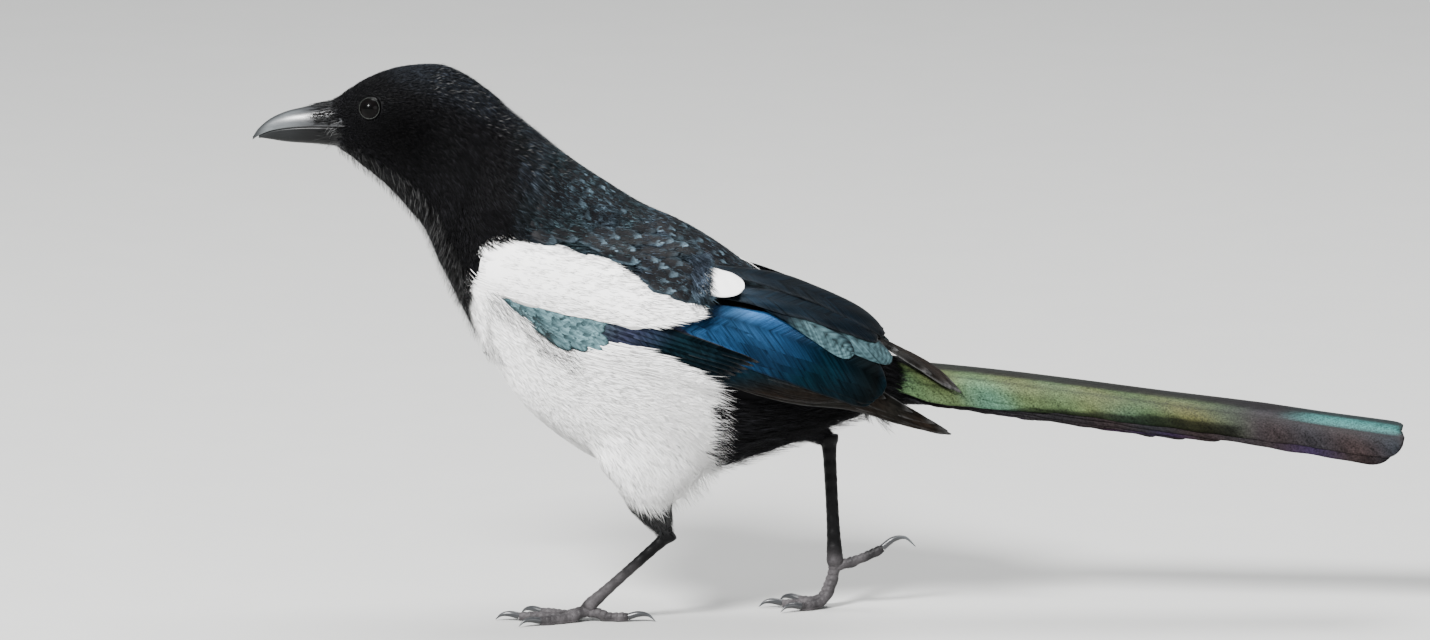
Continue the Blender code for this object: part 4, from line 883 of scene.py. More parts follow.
def feather_tint(stops, fringe=0.0, shaft=0.35, inner=0.0, mottle=0.12, grey=0.35):
    """A function for a feather's colours: stops of share and colour from root to tip, darker at the shaft
    and over the inner web, mottled softly, and paler by fringe along its edge."""
    places = np.array([s for s, _ in stops])
    values = np.array([c for _, c in stops])

    def tint(points, s, w, draw):
        tone = np.stack([np.interp(s, places, values[:, k]) for k in range(3)], -1)
        dark = 1 - shaft * np.exp(-((w / 0.07) ** 2)) - inner * smooth(0.1, -0.3, w)
        edge = np.clip(smooth(0.72, 1.0, np.abs(w)) + smooth(0.93, 1.0, s), 0, 1) * fringe
        tone = tone * (dark * (0.8 + 0.4 * draw) * (1 + mottle * waves(points, 3 * MM, 11)))[..., None]
        tone = tone * (1 + waves(points, 6 * MM, 17)[..., None] * np.array([-0.25, 0.06, 0.20]))
        return blend(tone, np.full(3, grey), edge)

    return tint


class Value:
    """A node socket that adds a Math node for each step of an expression on it."""

    def __init__(self, look, socket):
        self.look, self.socket = look, socket

    def math(self, operation, *values):
        return self.look.node("Math", {"operation": operation}, dict(enumerate(values)))

    def __add__(self, other):
        return self.math("ADD", self, other)

    def __sub__(self, other):
        return self.math("SUBTRACT", self, other)

    def __rsub__(self, other):
        return self.math("SUBTRACT", other, self)

    def __mul__(self, other):
        return self.math("MULTIPLY", self, other)

    def __abs__(self):
        return self.math("ABSOLUTE", self)

    __radd__ = __add__
    __rmul__ = __mul__


class Look:
    """A material in the making."""

    def __init__(self, name):
        self.material = bpy.data.materials.new(name)
        self.material.use_nodes = True
        self.tree = self.material.node_tree
        self.tree.nodes.clear()

    def node(self, kind, settings=None, inputs=None, output=0):
        """Adds a node of that kind, makes its settings, then gives its sockets their values or links."""
        found = self.tree.nodes.new("ShaderNode" + kind)
        for key, value in (settings or {}).items():
            setattr(found, key, value)
        for key, value in (inputs or {}).items():
            if isinstance(value, Value):
                self.tree.links.new(value.socket, found.inputs[key])
            else:
                found.inputs[key].default_value = value
        return Value(self, found.outputs[output])

    def attribute(self, name, output="Fac"):
        return self.node("Attribute", {"attribute_name": name}, output=output)

    def place(self):
        return self.node("TexCoord", output="Object")

    def noise(self, vector, scale, detail=2.0, roughness=0.5):
        settings = {"Vector": vector, "Scale": scale, "Detail": detail, "Roughness": roughness}
        return self.node("TexNoise", None, settings)

    def spread(self, vector, factors):
        """The vector times three factors."""
        return self.node("VectorMath", {"operation": "MULTIPLY"}, {0: vector, 1: factors})

    def shaded(self, factor):
        """The piece's own tint times a number."""
        return self.node("VectorMath", {"operation": "SCALE"},
                         {0: self.attribute("Tint", "Color"), "Scale": factor})

    def finish(self, colour, roughness, height, strength=0.5, depth=0.0002, metallic=0.0, **fixed):
        """Ends in a Principled shader with the varying parts linked and the fixed ones set."""
        bump = self.node("Bump", None, {"Strength": strength, "Distance": depth, "Height": height})
        inputs = {"Base Color": colour, "Roughness": roughness, "Metallic": metallic, "Normal": bump}
        inputs.update({key.replace("_", " "): value for key, value in fixed.items()})
        shader = self.node("BsdfPrincipled", None, inputs)
        end = self.tree.nodes.new("ShaderNodeOutputMaterial")
        self.tree.links.new(shader.socket, end.inputs["Surface"])
        return self.material


def plumage_look(name, rough, sheen, specular, grain):
    """Soft plumage: the tint with faint streaks, a duller sheen where it isn't glossy, and fine bumps."""
    look = Look(name)
    place, gloss, draw = look.place(), look.attribute("Gloss"), look.attribute("Draw")
    soft, fine = look.noise(place, 260.0), look.noise(place, 2600.0, 1.0)
    colour = look.shaded(1.0 + grain * (0.22 * soft + 0.12 * fine + 0.08 * draw - 0.21))
    roughness = rough - 0.2 * gloss + 0.12 * (fine - 0.5)
    return look.finish(colour, roughness, fine, 0.35 * grain, 0.0001, Coat_Weight=0.35 * gloss,
                       Coat_Roughness=0.35, Sheen_Weight=sheen, Sheen_Roughness=0.45,
                       Specular_IOR_Level=specular)


def vane_look(name, rough, metal, contrast, speckle, specular):
    """A feather's vane: streaks along its barbs, which leave the shaft at a slant towards the tip, coarser
    strips where barbs part, and speckles. It reads the vane's own map, across and along in metres."""
    look = Look(name)
    gloss, draw = look.attribute("Gloss"), look.attribute("Draw")
    split = look.node("SeparateXYZ", None, {0: look.node("UVMap", {"uv_map": "Vane"})})
    across, along = (Value(look, split.socket.node.outputs[k]) for k in (0, 1))
    barb = along - abs(across) * 1.1 + draw * 0.9
    fine, strips = (
        look.noise(look.node("CombineXYZ", None, {0: barb * a, 1: across * b, 2: draw * c}), 1.0, detail)
        for a, b, c, detail in ((1900.0, 120.0, 40.0, 2.0), (560.0, 60.0, 70.0, 3.0))
    )
    specks = look.noise(look.place(), 1500.0, 2.0, 0.7)
    streak = 1.6 * contrast * (fine - 0.5) + 2.4 * contrast * (strips - 0.5) + speckle * (specks - 0.5) + 1.05
    colour = look.shaded(streak.math("MAXIMUM", streak, 0.22))
    roughness = rough - 0.18 * gloss + 0.22 * (strips - 0.5) + 0.16 * (fine - 0.5)
    height = fine * 0.6 + strips
    return look.finish(colour, roughness, height, 0.7, 0.00016 * contrast, metal * gloss,
                       Specular_IOR_Level=specular)


def horn_look(name, rough, coat, specular):
    """Horn: long growth streaks along the bird, tiny scratches and a thin gloss."""
    look = Look(name)
    place = look.place()
    streaks = look.noise(look.spread(place, (140.0, 900.0, 1500.0)), 1.0, 3.0)
    grain = look.noise(place, 3200.0, 2.0)
    colour = look.shaded(0.72 + 0.4 * streaks + 0.16 * grain)
    roughness = rough + 0.22 * (streaks - 0.5) + 0.12 * (grain - 0.5)
    return look.finish(colour, roughness, streaks + 0.4 * grain, 0.4, 0.00008, Coat_Weight=coat,
                       Coat_Roughness=0.3, Specular_IOR_Level=specular)


def scale_look(name):
    """Leg skin: dark plates with fine pebbling and paler dust in the creases."""
    look = Look(name)
    place = look.place()
    cells = look.node("TexVoronoi", {"feature": "F1"}, {"Vector": place, "Scale": 1100.0})
    grain = look.noise(place, 1800.0, 3.0)
    colour = look.shaded(0.6 + 0.5 * grain + 0.4 * cells)
    return look.finish(colour, 0.42 + 0.25 * (grain - 0.5) + 0.12 * cells, cells * -0.6 + grain, 0.6, 0.00015,
                       Specular_IOR_Level=0.1)


def eye_look(name):
    """An eye: the tint with fine rays, under a clear, wet coat."""
    look = Look(name)
    fine = look.noise(look.place(), 1500.0, 2.0)
    colour = look.shaded(0.8 + 0.4 * fine)
    return look.finish(colour, 0.3 + 0.1 * fine, fine, 0.05, 0.00005, Coat_Weight=0.10, Coat_Roughness=0.05,
                       Specular_IOR_Level=0.02)


def floor_look(name, tone):
    """The pale floor, with the slightest mottling."""
    look = Look(name)
    soft = look.noise(look.place(), 30.0, 3.0)
    dark, light = (*(tone * 0.97), 1.0), (*(tone * 1.02), 1.0)
    colour = look.node("Mix", {"data_type": "RGBA"}, {0: soft, 6: dark, 7: light}, 2)
    return look.finish(colour, 0.85 + 0.05 * soft, soft, 0.05, 0.0002)


LOOKS = {
    "black": lambda: plumage_look("black_plumage", rough=0.62, sheen=0.0, specular=0.05, grain=1.0),
    "white": lambda: plumage_look("white_plumage", rough=0.9, sheen=0.1, specular=0.15, grain=0.3),
    "wing": lambda: vane_look("wing_vane", rough=0.50, metal=0.7, contrast=1.0, speckle=0.5, specular=0.03),
    "tail": lambda: vane_look("tail_vane", rough=0.55, metal=0.5, contrast=0.4, speckle=3.4, specular=0.06),
    "mantle": lambda: vane_look("mantle_vane", rough=0.58, metal=0.4, contrast=0.8, speckle=1.0,
                                specular=0.06),
    "horn": lambda: horn_look("bill_and_claw_horn", rough=0.32, coat=0.4, specular=0.35),
    "dark_horn": lambda: horn_look("lower_bill_horn", rough=0.42, coat=0.1, specular=0.1),
    "scale": lambda: scale_look("leg_scale"),
    "eye": lambda: eye_look("wet_eye"),
}


def look_of(key):
    """The finished material of that key, made on first use."""
    found = LOOKS[key]
    if callable(found):
        found = LOOKS[key] = found()
    return found


FLESH = ("head", "neck", "mantle", "belly", "rump", "thigh_left", "thigh_right")
COAT_INSET = 1.3 * MM
THIGH_INSET = 0.9 * MM
SKIN = body(COAT_INSET)
# Angles round the body from its back to each half's ends.
HALVES = {"left": (math.pi, 2 * math.pi), "right": (0, math.pi)}
FULL_TURN = (0, 2 * math.pi)
# How blades of a kind bend, shine, are painted darker at the root as shade deep in the coat, and stray from
# their way.
LOOSE = {"stations": 4, "curl": 0.9, "gloss": 0.2, "root_shade": 0.1, "spread": 0.8}
SILK = {"curl": 0.1, "gloss": 0.1, "root_shade": 0.97, "spread": 0.10}
# How finely the small and the long feathers are drawn, and how their ends look.
SMALL = {"stations": 8, "columns": 5, "thickness": 0.15, "ragged": 0.12, "root": 0.5}
FINE = {"stations": 30, "columns": 11}


def build_skin():
    """One skin under all the plumage: the body's and the thighs' forms, shrunk by the coat's depth and
    merged into one closed surface."""
    solids = [tube(SKIN.point(*lattice((0.15, LAST_RIB, 120), (*FULL_TURN, 72), closed=True)))]
    for word in SIDES:
        t, angle = lattice((0, len(THIGHS_MM[word]) - 1, 50), (*FULL_TURN, 36), closed=True)
        solids.append(tube(limb(word, THIGH_INSET).point(t, angle)))
    points, faces = joined(solids)
    rough = bpy.data.meshes.new("rough_skin")
    rough.from_pydata(points.tolist(), [], [tuple(map(int, row)) for f in faces for row in f])
    work = placed("rough_skin", rough)
    step = work.modifiers.new("merge", "REMESH")
    step.mode, step.voxel_size = "VOXEL", bpy.context.scene.magpie_sizes.skin_detail
    bpy.context.view_layer.update()
    mesh = bpy.data.meshes.new_from_object(work.evaluated_get(bpy.context.evaluated_depsgraph_get()))
    bpy.data.objects.remove(work)
    points = read(mesh.vertices, "co", np.float32, 3).reshape(-1, 3).astype(float)
    corners, sizes = read(mesh.loops, "vertex_index", np.int32), read(mesh.polygons, "loop_total", np.int32)
    starts = np.cumsum(sizes) - sizes
    faces = [corners[starts[sizes == n][:, None] + np.arange(n)] for n in np.unique(sizes)]
    near_thigh = (points[:, 2] < 58 * MM) & (points[:, 0] < -48 * MM)
    draw = np.full(len(points), 0.4)
    tint = np.where(near_thigh[:, None], thigh_tint("left")(points, draw), body_tint(points, draw))
    add_piece("skin", points, facing_out(points, faces), "black", FLESH, tint * 0.8)


def read(items, key, kind, size=1):
    """An array of the value that each item has under key, or of its size values."""
    found = np.zeros(len(items) * size, kind)
    items.foreach_get(key, found)
    return found


def from_eye(points):
    """Distance from the nearer eye's centre, in metres."""
    return np.linalg.norm(points * [1, 0, 1] + np.abs(points) * [0, 1, 0] - np.array(EYE_MM) * MM, axis=-1)


def uncovered(points, margin=1.2):
    """Whether no wing stands over points of the body by more than margin mm."""
    return over_flank(points) < margin * MM


def head_length(points):
    """Blade length in mm: short at the bill and the eye, long on the nape and throat."""
    near = smooth(5.0 * MM, 12 * MM, from_eye(points))
    long = 1.7 + 1.9 * aft(-180, -150, points) + 1.6 * aft(-152, -134, points) + 2.4 * throat_share(points)
    return long * (0.55 + 0.45 * near)


def head_lift(points):
    """How far blades stand out in mm: close on crown and face, loose along the throat."""
    return 0.5 + 0.4 * aft(-170, -140, points) + 0.5 * throat_share(points)


def pale_hair(strength):
    """A function for thin hairs of that strength, most of them dark and a few pale with painted glints."""
    return lambda points, draw: np.full(3, 0.16) * (strength * (0.04 + 1.5 * draw**4))[..., None]


def build_head():
    """Velvet-short plumage of the head in two halves, and the bristles that cover the nostrils."""
    def keep(middle, root):
        return (from_eye(root) > 4.7 * MM) & (from_eye(middle) > 4.6 * MM)

    def round_bill(middle, root):
        return (root[..., 2] > 188.5 * MM) | (root[..., 2] < 179.5 * MM)

    for word, angles in HALVES.items():
        side = int(SIDES[word])

        def on_half(middle, root):
            return root[..., 1] * side > 0

        def gape(middle, root):
            return (root[..., 2] < 190 * MM) & keep(middle, root)

        add_fields(f"head_plumage_{word}", [
            tufts(SKIN, (0.12, 7.2), angles, 3.5, head_length, width=0.17, lift=head_lift, seed=11 + side,
                  tint=black_tint, keep=keep, gloss=black_gloss),
            tufts(SKIN, (0.05, 0.5), angles, 5.0, 2.6, math.pi, 0.10, 0.8, 4, 15 + side, black_tint,
                  round_bill, spread=0.7),
            tufts(SKIN, (0.2, 9.0), (math.pi - 0.9, math.pi + 0.9), 1.2, 4.0, width=0.09, lift=3.2,
                  seed=19 + side, tint=pale_hair(0.7), keep=on_half, **LOOSE),
            tufts(SKIN, (4.5, 10.0), (-0.8, 0.8), 0.5, 2.4, width=0.09, lift=1.6, seed=29 + side,
                  tint=pale_hair(0.8), keep=on_half, **LOOSE),
            tufts(SKIN, (0.05, 1.0), angles, 0.9, 4.5, math.pi - side * 0.3, 0.05, 1.1, 5, 23 + side,
                  pale_hair(1.0), gape, curl=0.7, gloss=0.3, root_shade=0.2, spread=0.7),
        ], "black")
    upper, lower = Surface(bill_point, -1.0), Surface(lambda t, angle: bill_point(t, angle, True), 1.0)
    add_fields("nasal_bristles", [
        tufts(surface, reach, (0.12, math.pi - 0.12), lambda r, most=density: most * aft(-200, -189, r),
              length, math.pi, 0.055, 0.5, 5, seed, pale_hair(0.25), curl=0.35, gloss=0.2, root_shade=0.6,
              spread=0.4)
        for surface, reach, length, density, seed in (
            (upper, (4.9, 6.4), 4.0, 2.2, 31), (upper, (5.6, 6.3), 9.5, 1.3, 32),
            (lower, (5.2, 6.3), 4.0, 0.7, 33),
        )
    ], "black")


def build_neck():
    """The neck's and the bib's plumage."""
    def keep(middle, root):
        return uncovered(root) & (white_share(middle) < 0.5)

    def length(points):
        return 3.4 + 1.6 * aft(-145, -105, points) + 2 * throat_share(points)

    for word, angles in HALVES.items():
        def on_half(middle, root):
            return (root[..., 1] * SIDES[word] > 0) & keep(middle, root)

        add_fields(f"neck_plumage_{word}", [
            tufts(SKIN, (6.8, 12.2), angles, 2.5, length, width=0.15,
                  lift=lambda r: 0.9 + 0.3 * throat_share(r), seed=41 + len(word), tint=body_tint,
                  keep=keep, gloss=black_gloss),
            tufts(SKIN, (8.8, 11.6), (math.pi - 0.8, math.pi + 0.8), 0.8, 4.2, width=0.08, lift=3.0,
                  seed=47 + len(word), tint=pale_hair(0.5), keep=on_half, **LOOSE),
        ], "black")


def rows_of_feathers(surface, p_range, q_range, rows, columns, length, seed, slant=0.0, spread=0.0, keep=None):
    """Roots in staggered rows over a rectangle of a surface, and tips length mm away at the angle slant
    from p. spread scatters the roots by that share of a cell. Feathers whose middle and root don't pass
    the test keep are left out."""
    draw = np.random.default_rng(seed)
    i, j = np.indices((rows, columns))
    p = p_range[0] + (p_range[1] - p_range[0]) * (i + 0.5) / rows
    q = q_range[0] + (q_range[1] - q_range[0]) * (j + 0.25 + 0.5 * (i % 2)) / columns
    p = p + (p_range[1] - p_range[0]) / rows * draw.uniform(-spread, spread, p.shape)
    q = q + (q_range[1] - q_range[0]) / columns * draw.uniform(-spread, spread, p.shape)
    _, _, unit_p, unit_q = surface.frame(p, q)
    long = length * MM * draw.uniform(0.9, 1.1, p.shape)
    way = slant + draw.uniform(-0.10, 0.10, p.shape)
    roots = np.stack([p, q], -1).reshape(-1, 2)
    tips = np.stack([p + long * np.cos(way) / unit_p, q + long * np.sin(way) / unit_q], -1).reshape(-1, 2)
    if keep is None:
        return roots, tips
    middle = roots * 0.45 + tips * 0.55
    kept = keep(surface.point(middle[:, 0], middle[:, 1]), surface.point(roots[:, 0], roots[:, 1]))
    return roots[kept], tips[kept]


def mantle_tint(points, s, w, draw):
    """A mantle feather: black within, with a blue-grey painted sheen along its fringe that is brighter on some
    feathers.
    """
    edge = np.clip(smooth(0.55, 0.85, np.abs(w)) * 0.5 + smooth(0.68, 0.9, s), 0, 1) * smooth(1.02, 0.94, s)
    share = 0.85 * edge * (0.1 + 0.9 * draw**2) * aft(-122, -84, points)
    return blend(colours()["black"] * (0.5 + 0.6 * draw)[..., None], colours()["mantle_gloss"], share)


def on_side(middle, root):
    """Whether blades or feathers lie on the broad part of a side, away from the side view's outline."""
    return np.minimum(np.abs(middle[..., 1]), np.abs(root[..., 1])) > 15 * MM


def over_tertials(points):
    """How far the mantle's rear end stands over the side, in mm, to lie on top of the tertials."""
    return 2.6 * aft(-68, -52, points) * smooth(153, 141, points[..., 2] / MM)


def build_mantle():
    """The mantle's feathers in overlapping rows over the back, fine blades between them, and the black
    feathers that droop over both shoulders."""
    def keep(middle, root):
        return uncovered(root, 2.0) & (white_share(middle) < 0.5)

    def droop(margin):
        return lambda m, r: (inside(m, BLACK_MANTLE_MM) > margin) & on_side(m, r)

    rows = rows_of_feathers(SKIN, (9.6, 17.4), (-1.35, 1.35), 30, 21, 10.5, 51, 0.0, 0.3, keep)
    fields = [
        vanes(SKIN, *rows, 3.4, 0.4, mantle_tint, roundness=0.7, camber=0.08, sink=0.7, seed=52, tip=0.4,
              **SMALL),
        tufts(SKIN, (9.6, 18.0), (-1.7, 1.7), lambda r: 1.7 - 0.7 * mantle_share(r), 5.4, width=0.11, seed=53,
              tint=black_tint, keep=keep, gloss=black_gloss),
    ]
    for word in SIDES:
        side = raised(flank(word), over_tertials)
        rows = rows_of_feathers(side, (-0.118, -0.044), (0.118, 0.152), 20, 8, 13.0, 54, -0.42, 0.2,
                                droop(1.0 * MM))
        fields += [
            vanes(side, *rows, 3.2, 0.5, mantle_tint, roundness=0.6, camber=0.06, sink=0.8, seed=55, tip=0.5,
                  **SMALL),
            tufts(side, (-0.132, -0.042), (0.115, 0.160), lambda r: 1.95 - 0.7 * aft(-120, -95, r), 6.0,
                  lambda r: -0.42 - 0.5 * aft(-80, -50, r), 0.09, 1.1, 3, 56, black_tint, droop(-0.4 * MM),
                  gloss=black_gloss),
            tufts(side, (-0.0535, -0.0480), (0.128, 0.1400), 6.0, 9.0, -1.15, 0.12, 2.4, 5, 57,
                  lambda m, d: black_tint(m, d) * 0.7, on_side, curl=0.3, gloss=0.1, root_shade=0.8,
                  spread=0.4),
        ]
    add_fields("mantle_plumage", fields, "mantle")


def build_shoulders():
    """White shoulder feathers laid over each wing's front, in rows with silky blades along them, the white
    tongue behind them, and the far patch's edge that shows over the back."""
    def white(middle, root):
        return (inside(middle, WHITE_SHOULDER_MM) > 0.4 * MM) & (inside(root, WHITE_SHOULDER_MM) > -1.2 * MM)

    def well_inside(middle, root):
        return (inside(middle, WHITE_SHOULDER_MM) > 3.6 * MM) & (middle[:, 0] < -72 * MM)

    def tint(points, s, w, draw):
        return white_tint(points, 0.5 + 0 * s) * (1 - 0.10 * smooth(0.8, 1.0, np.abs(w)))[..., None]

    for word in SIDES:
        side = raised(flank(word), over_tertials)
        rows = rows_of_feathers(side, (-0.145, -0.046), (0.112, 0.146), 11, 6, 22.0, 61, -0.22, 0.2,
                                well_inside)
        fields = [
            vanes(side, *rows, 5.6, 0.1, tint, stations=9, columns=5, thickness=0.2, camber=0.03, sink=0.9,
                  seed=62, tip=0.35, root=0.5, gloss=0.1),
            vanes(side, (-0.0520, 0.1322), (-0.0336, 0.1266), 6.3, 1.0, tint, stations=26, columns=15,
                  thickness=0.2, camber=0.04, sink=2.4, seed=63, ragged=0.0, tip=0.5, root=0.9, gloss=0.1),
            tufts(side, (-0.142, -0.038), (0.112, 0.150), 1.7, lambda r: 12.0 - 6 * aft(-62, -48, r), -0.22,
                  0.24, lambda r: 0.35 + 0.5 * aft(-56, -48, r), 5, 64, white_tint, white, curl=0.06,
                  gloss=0.1, root_shade=0.98, spread=0.07),
        ]
        if word == "right":
            fields.append(vanes(SKIN, (14.30, 0.50), (15.20, 0.26), 2.4, 2.2, tint, stations=16, thickness=0.2,
                                camber=0.05, sink=0.8, seed=65, ragged=0.0, tip=0.4, root=0.4))
        add_fields(f"shoulder_plumage_{word}", fields, "white", [f"scapulars_{word}"])


def build_belly():
    """Breast, belly and vent, and the flank feathers that overlap the wings' lower edge."""
    def keep(middle, root):
        return uncovered(root, 1.0) & (white_share(middle) >= 0.5)

    def fringe(middle, root):
        frayed = inside(middle, WHITE_FLANK_MM) + 0.9 * MM * waves(middle, 1.0 * MM, 13)
        return (frayed > 0) & on_side(middle, root)

    def over_vent(middle, root):
        return (inside(root, WHITE_FLANK_MM) > 0) & (inside(middle, WHITE_FLANK_MM) > -4.5 * MM)

    def along_wrist(middle, root):
        return np.abs(inside(root, WHITE_FLANK_MM) - 1.0 * MM) < 4.0 * MM

    for word, angles in HALVES.items():
        side = flank(word)
        add_fields(f"belly_plumage_{word}", [
            tufts(SKIN, (8.6, 16.4), angles, 1.1, lambda r: 9.0 + 3.0 * aft(-130, -80, r),
                  lambda r: SIDES[word] * -0.35 * smooth(60, 80, r[..., 2] / MM), 0.20, 0.6, 4, 71 + len(word),
                  body_tint, keep, **SILK),
        ], "white")
        add_fields(f"flank_plumage_{word}", [
            tufts(side, (-0.138, -0.036), (0.040, 0.130), 1.25, lambda r: 9.0 + 5.0 * aft(-130, -80, r),
                  flank_way, 0.20, 0.6, 5, 75, white_tint, fringe, curl=0.12, gloss=0.1, root_shade=0.98,
                  spread=0.10),
            tufts(side, (-0.075, -0.038), (0.050, 0.100), 0.9, 15.0, flank_way, 0.06, 1.0, 6, 79, white_tint,
                  over_vent, curl=0.5, gloss=0.1, root_shade=0.9, spread=0.5),
            tufts(side, (-0.130, -0.096), (0.100, 0.133), 0.7, 7.5, -0.6, 0.06, 1.9, 6, 77, pale_hair(0.2),
                  along_wrist, curl=0.5, gloss=0.1, root_shade=0.9, spread=0.6),
        ], "white")


def flank_way(points):
    """The lie of the flank's feathers in the side view: down over the wing's wrist, level behind it, and
    down along the thigh."""
    return -0.16 - 0.95 * smooth(112, 52, points[..., 2] / MM) - 0.4 * aft(-80, -125, points)


def build_vent():
    """Black plumage of the vent and of the tail's coverts above and below, which hold the tail."""
    def keep(middle, root):
        return uncovered(root, 2.5) & (white_share(middle) < 0.5)

    def covert(points, s, w, draw):
        return black_tint(points, 0.3 + 0.3 * draw)

    core = Surface(narrow_core_point, 1.0)
    rows = rows_of_feathers(core, (0.2, 3.0), (2.3, 2 * math.pi - 2.3), 7, 5, 15.0, 83, 0.0, 0.2)
    add_fields("rump_plumage", [
        tufts(SKIN, (12.0, 18.2), (1.3, 2 * math.pi - 1.3), 1.2, 9.0, 0.0, 0.15, 1.3, 4, 81, black_tint, keep,
              gloss=0.1),
        tufts(SKIN, (12.8, 18.2), (2.2, 2 * math.pi - 2.2), 0.5, 11.0, 0.0, 0.12, 3.8, 6, 88, black_tint, keep,
              curl=0.9, gloss=0.0, root_shade=0.8, spread=0.9),
        tufts(core, (0.0, 0.9), (0.0, 2 * math.pi), 2.0, 9.0, 0.0, 0.2, 3.4, 3, 82, black_tint, gloss=0.1),
        tufts(core, (0.5, 4.6), (1.75, 2 * math.pi - 1.75), 1.5, 9.5, 0.0, 0.2, 0.9, 3, 85, black_tint,
              gloss=0.35),
        vanes(core, *rows, 4.0, 0.1, covert, roundness=0.8, stations=12, columns=5, thickness=0.2, sink=0.8,
              seed=84, ragged=0.05, tip=0.4, root=0.5, gloss=0.3),
        solid_field(tube(narrow_core_point(*lattice((0, 5, 40), (*FULL_TURN, 36), closed=True))), 0.006),
    ], "black")


def build_thighs():
    """Thigh plumage down to the bare heel."""
    for word, key in (("left", "white"), ("right", "black")):
        far = word == "right"
        heel = LEGS_MM[word][0][2]
        field = tufts(limb(word, THIGH_INSET), (0.9, len(THIGHS_MM[word]) - 1.05), FULL_TURN, 2.2,
                      lambda r: np.clip((r[..., 2] / MM - heel + 2) * 0.4, 3.0, 7.0) + 3 * far, width=0.15,
                      seed=91, tint=thigh_tint(word),
                      keep=lambda m, r: (over_flank(r) > 3 * MM) | (r[..., 2] < 55 * MM) | far,
                      gloss=0.15, root_shade=0.9)
        add_fields(f"thigh_plumage_{word}", [field], key)


def wing_lie(along, across):
    """How far the front of the wing sinks into the breast."""
    return -4 * MM * smooth(0.10, -0.06, along)


def tier(surface, count, lowest, highest, reach, half, lift, tint, seed, **more):
    """One row of a wing's feathers from its lowest to its highest, each given as root and tip along and
    across. The middle feathers reach farther by reach."""
    share = np.linspace(0, 1, count)[:, None]
    rows = np.array(lowest) * (1 - share) + np.array(highest) * share
    rows[:, 2] += reach * (1 - (2 * share[:, 0] - 1) ** 2)
    widths, lifts = np.interp(share[:, 0], (0, 1), half), np.interp(share[:, 0], (0, 1), lift)
    return vanes(surface, rows[:, :2], rows[:, 2:], widths, lifts, tint, seed=seed, lie=wing_lie, **more,
                 **FINE)


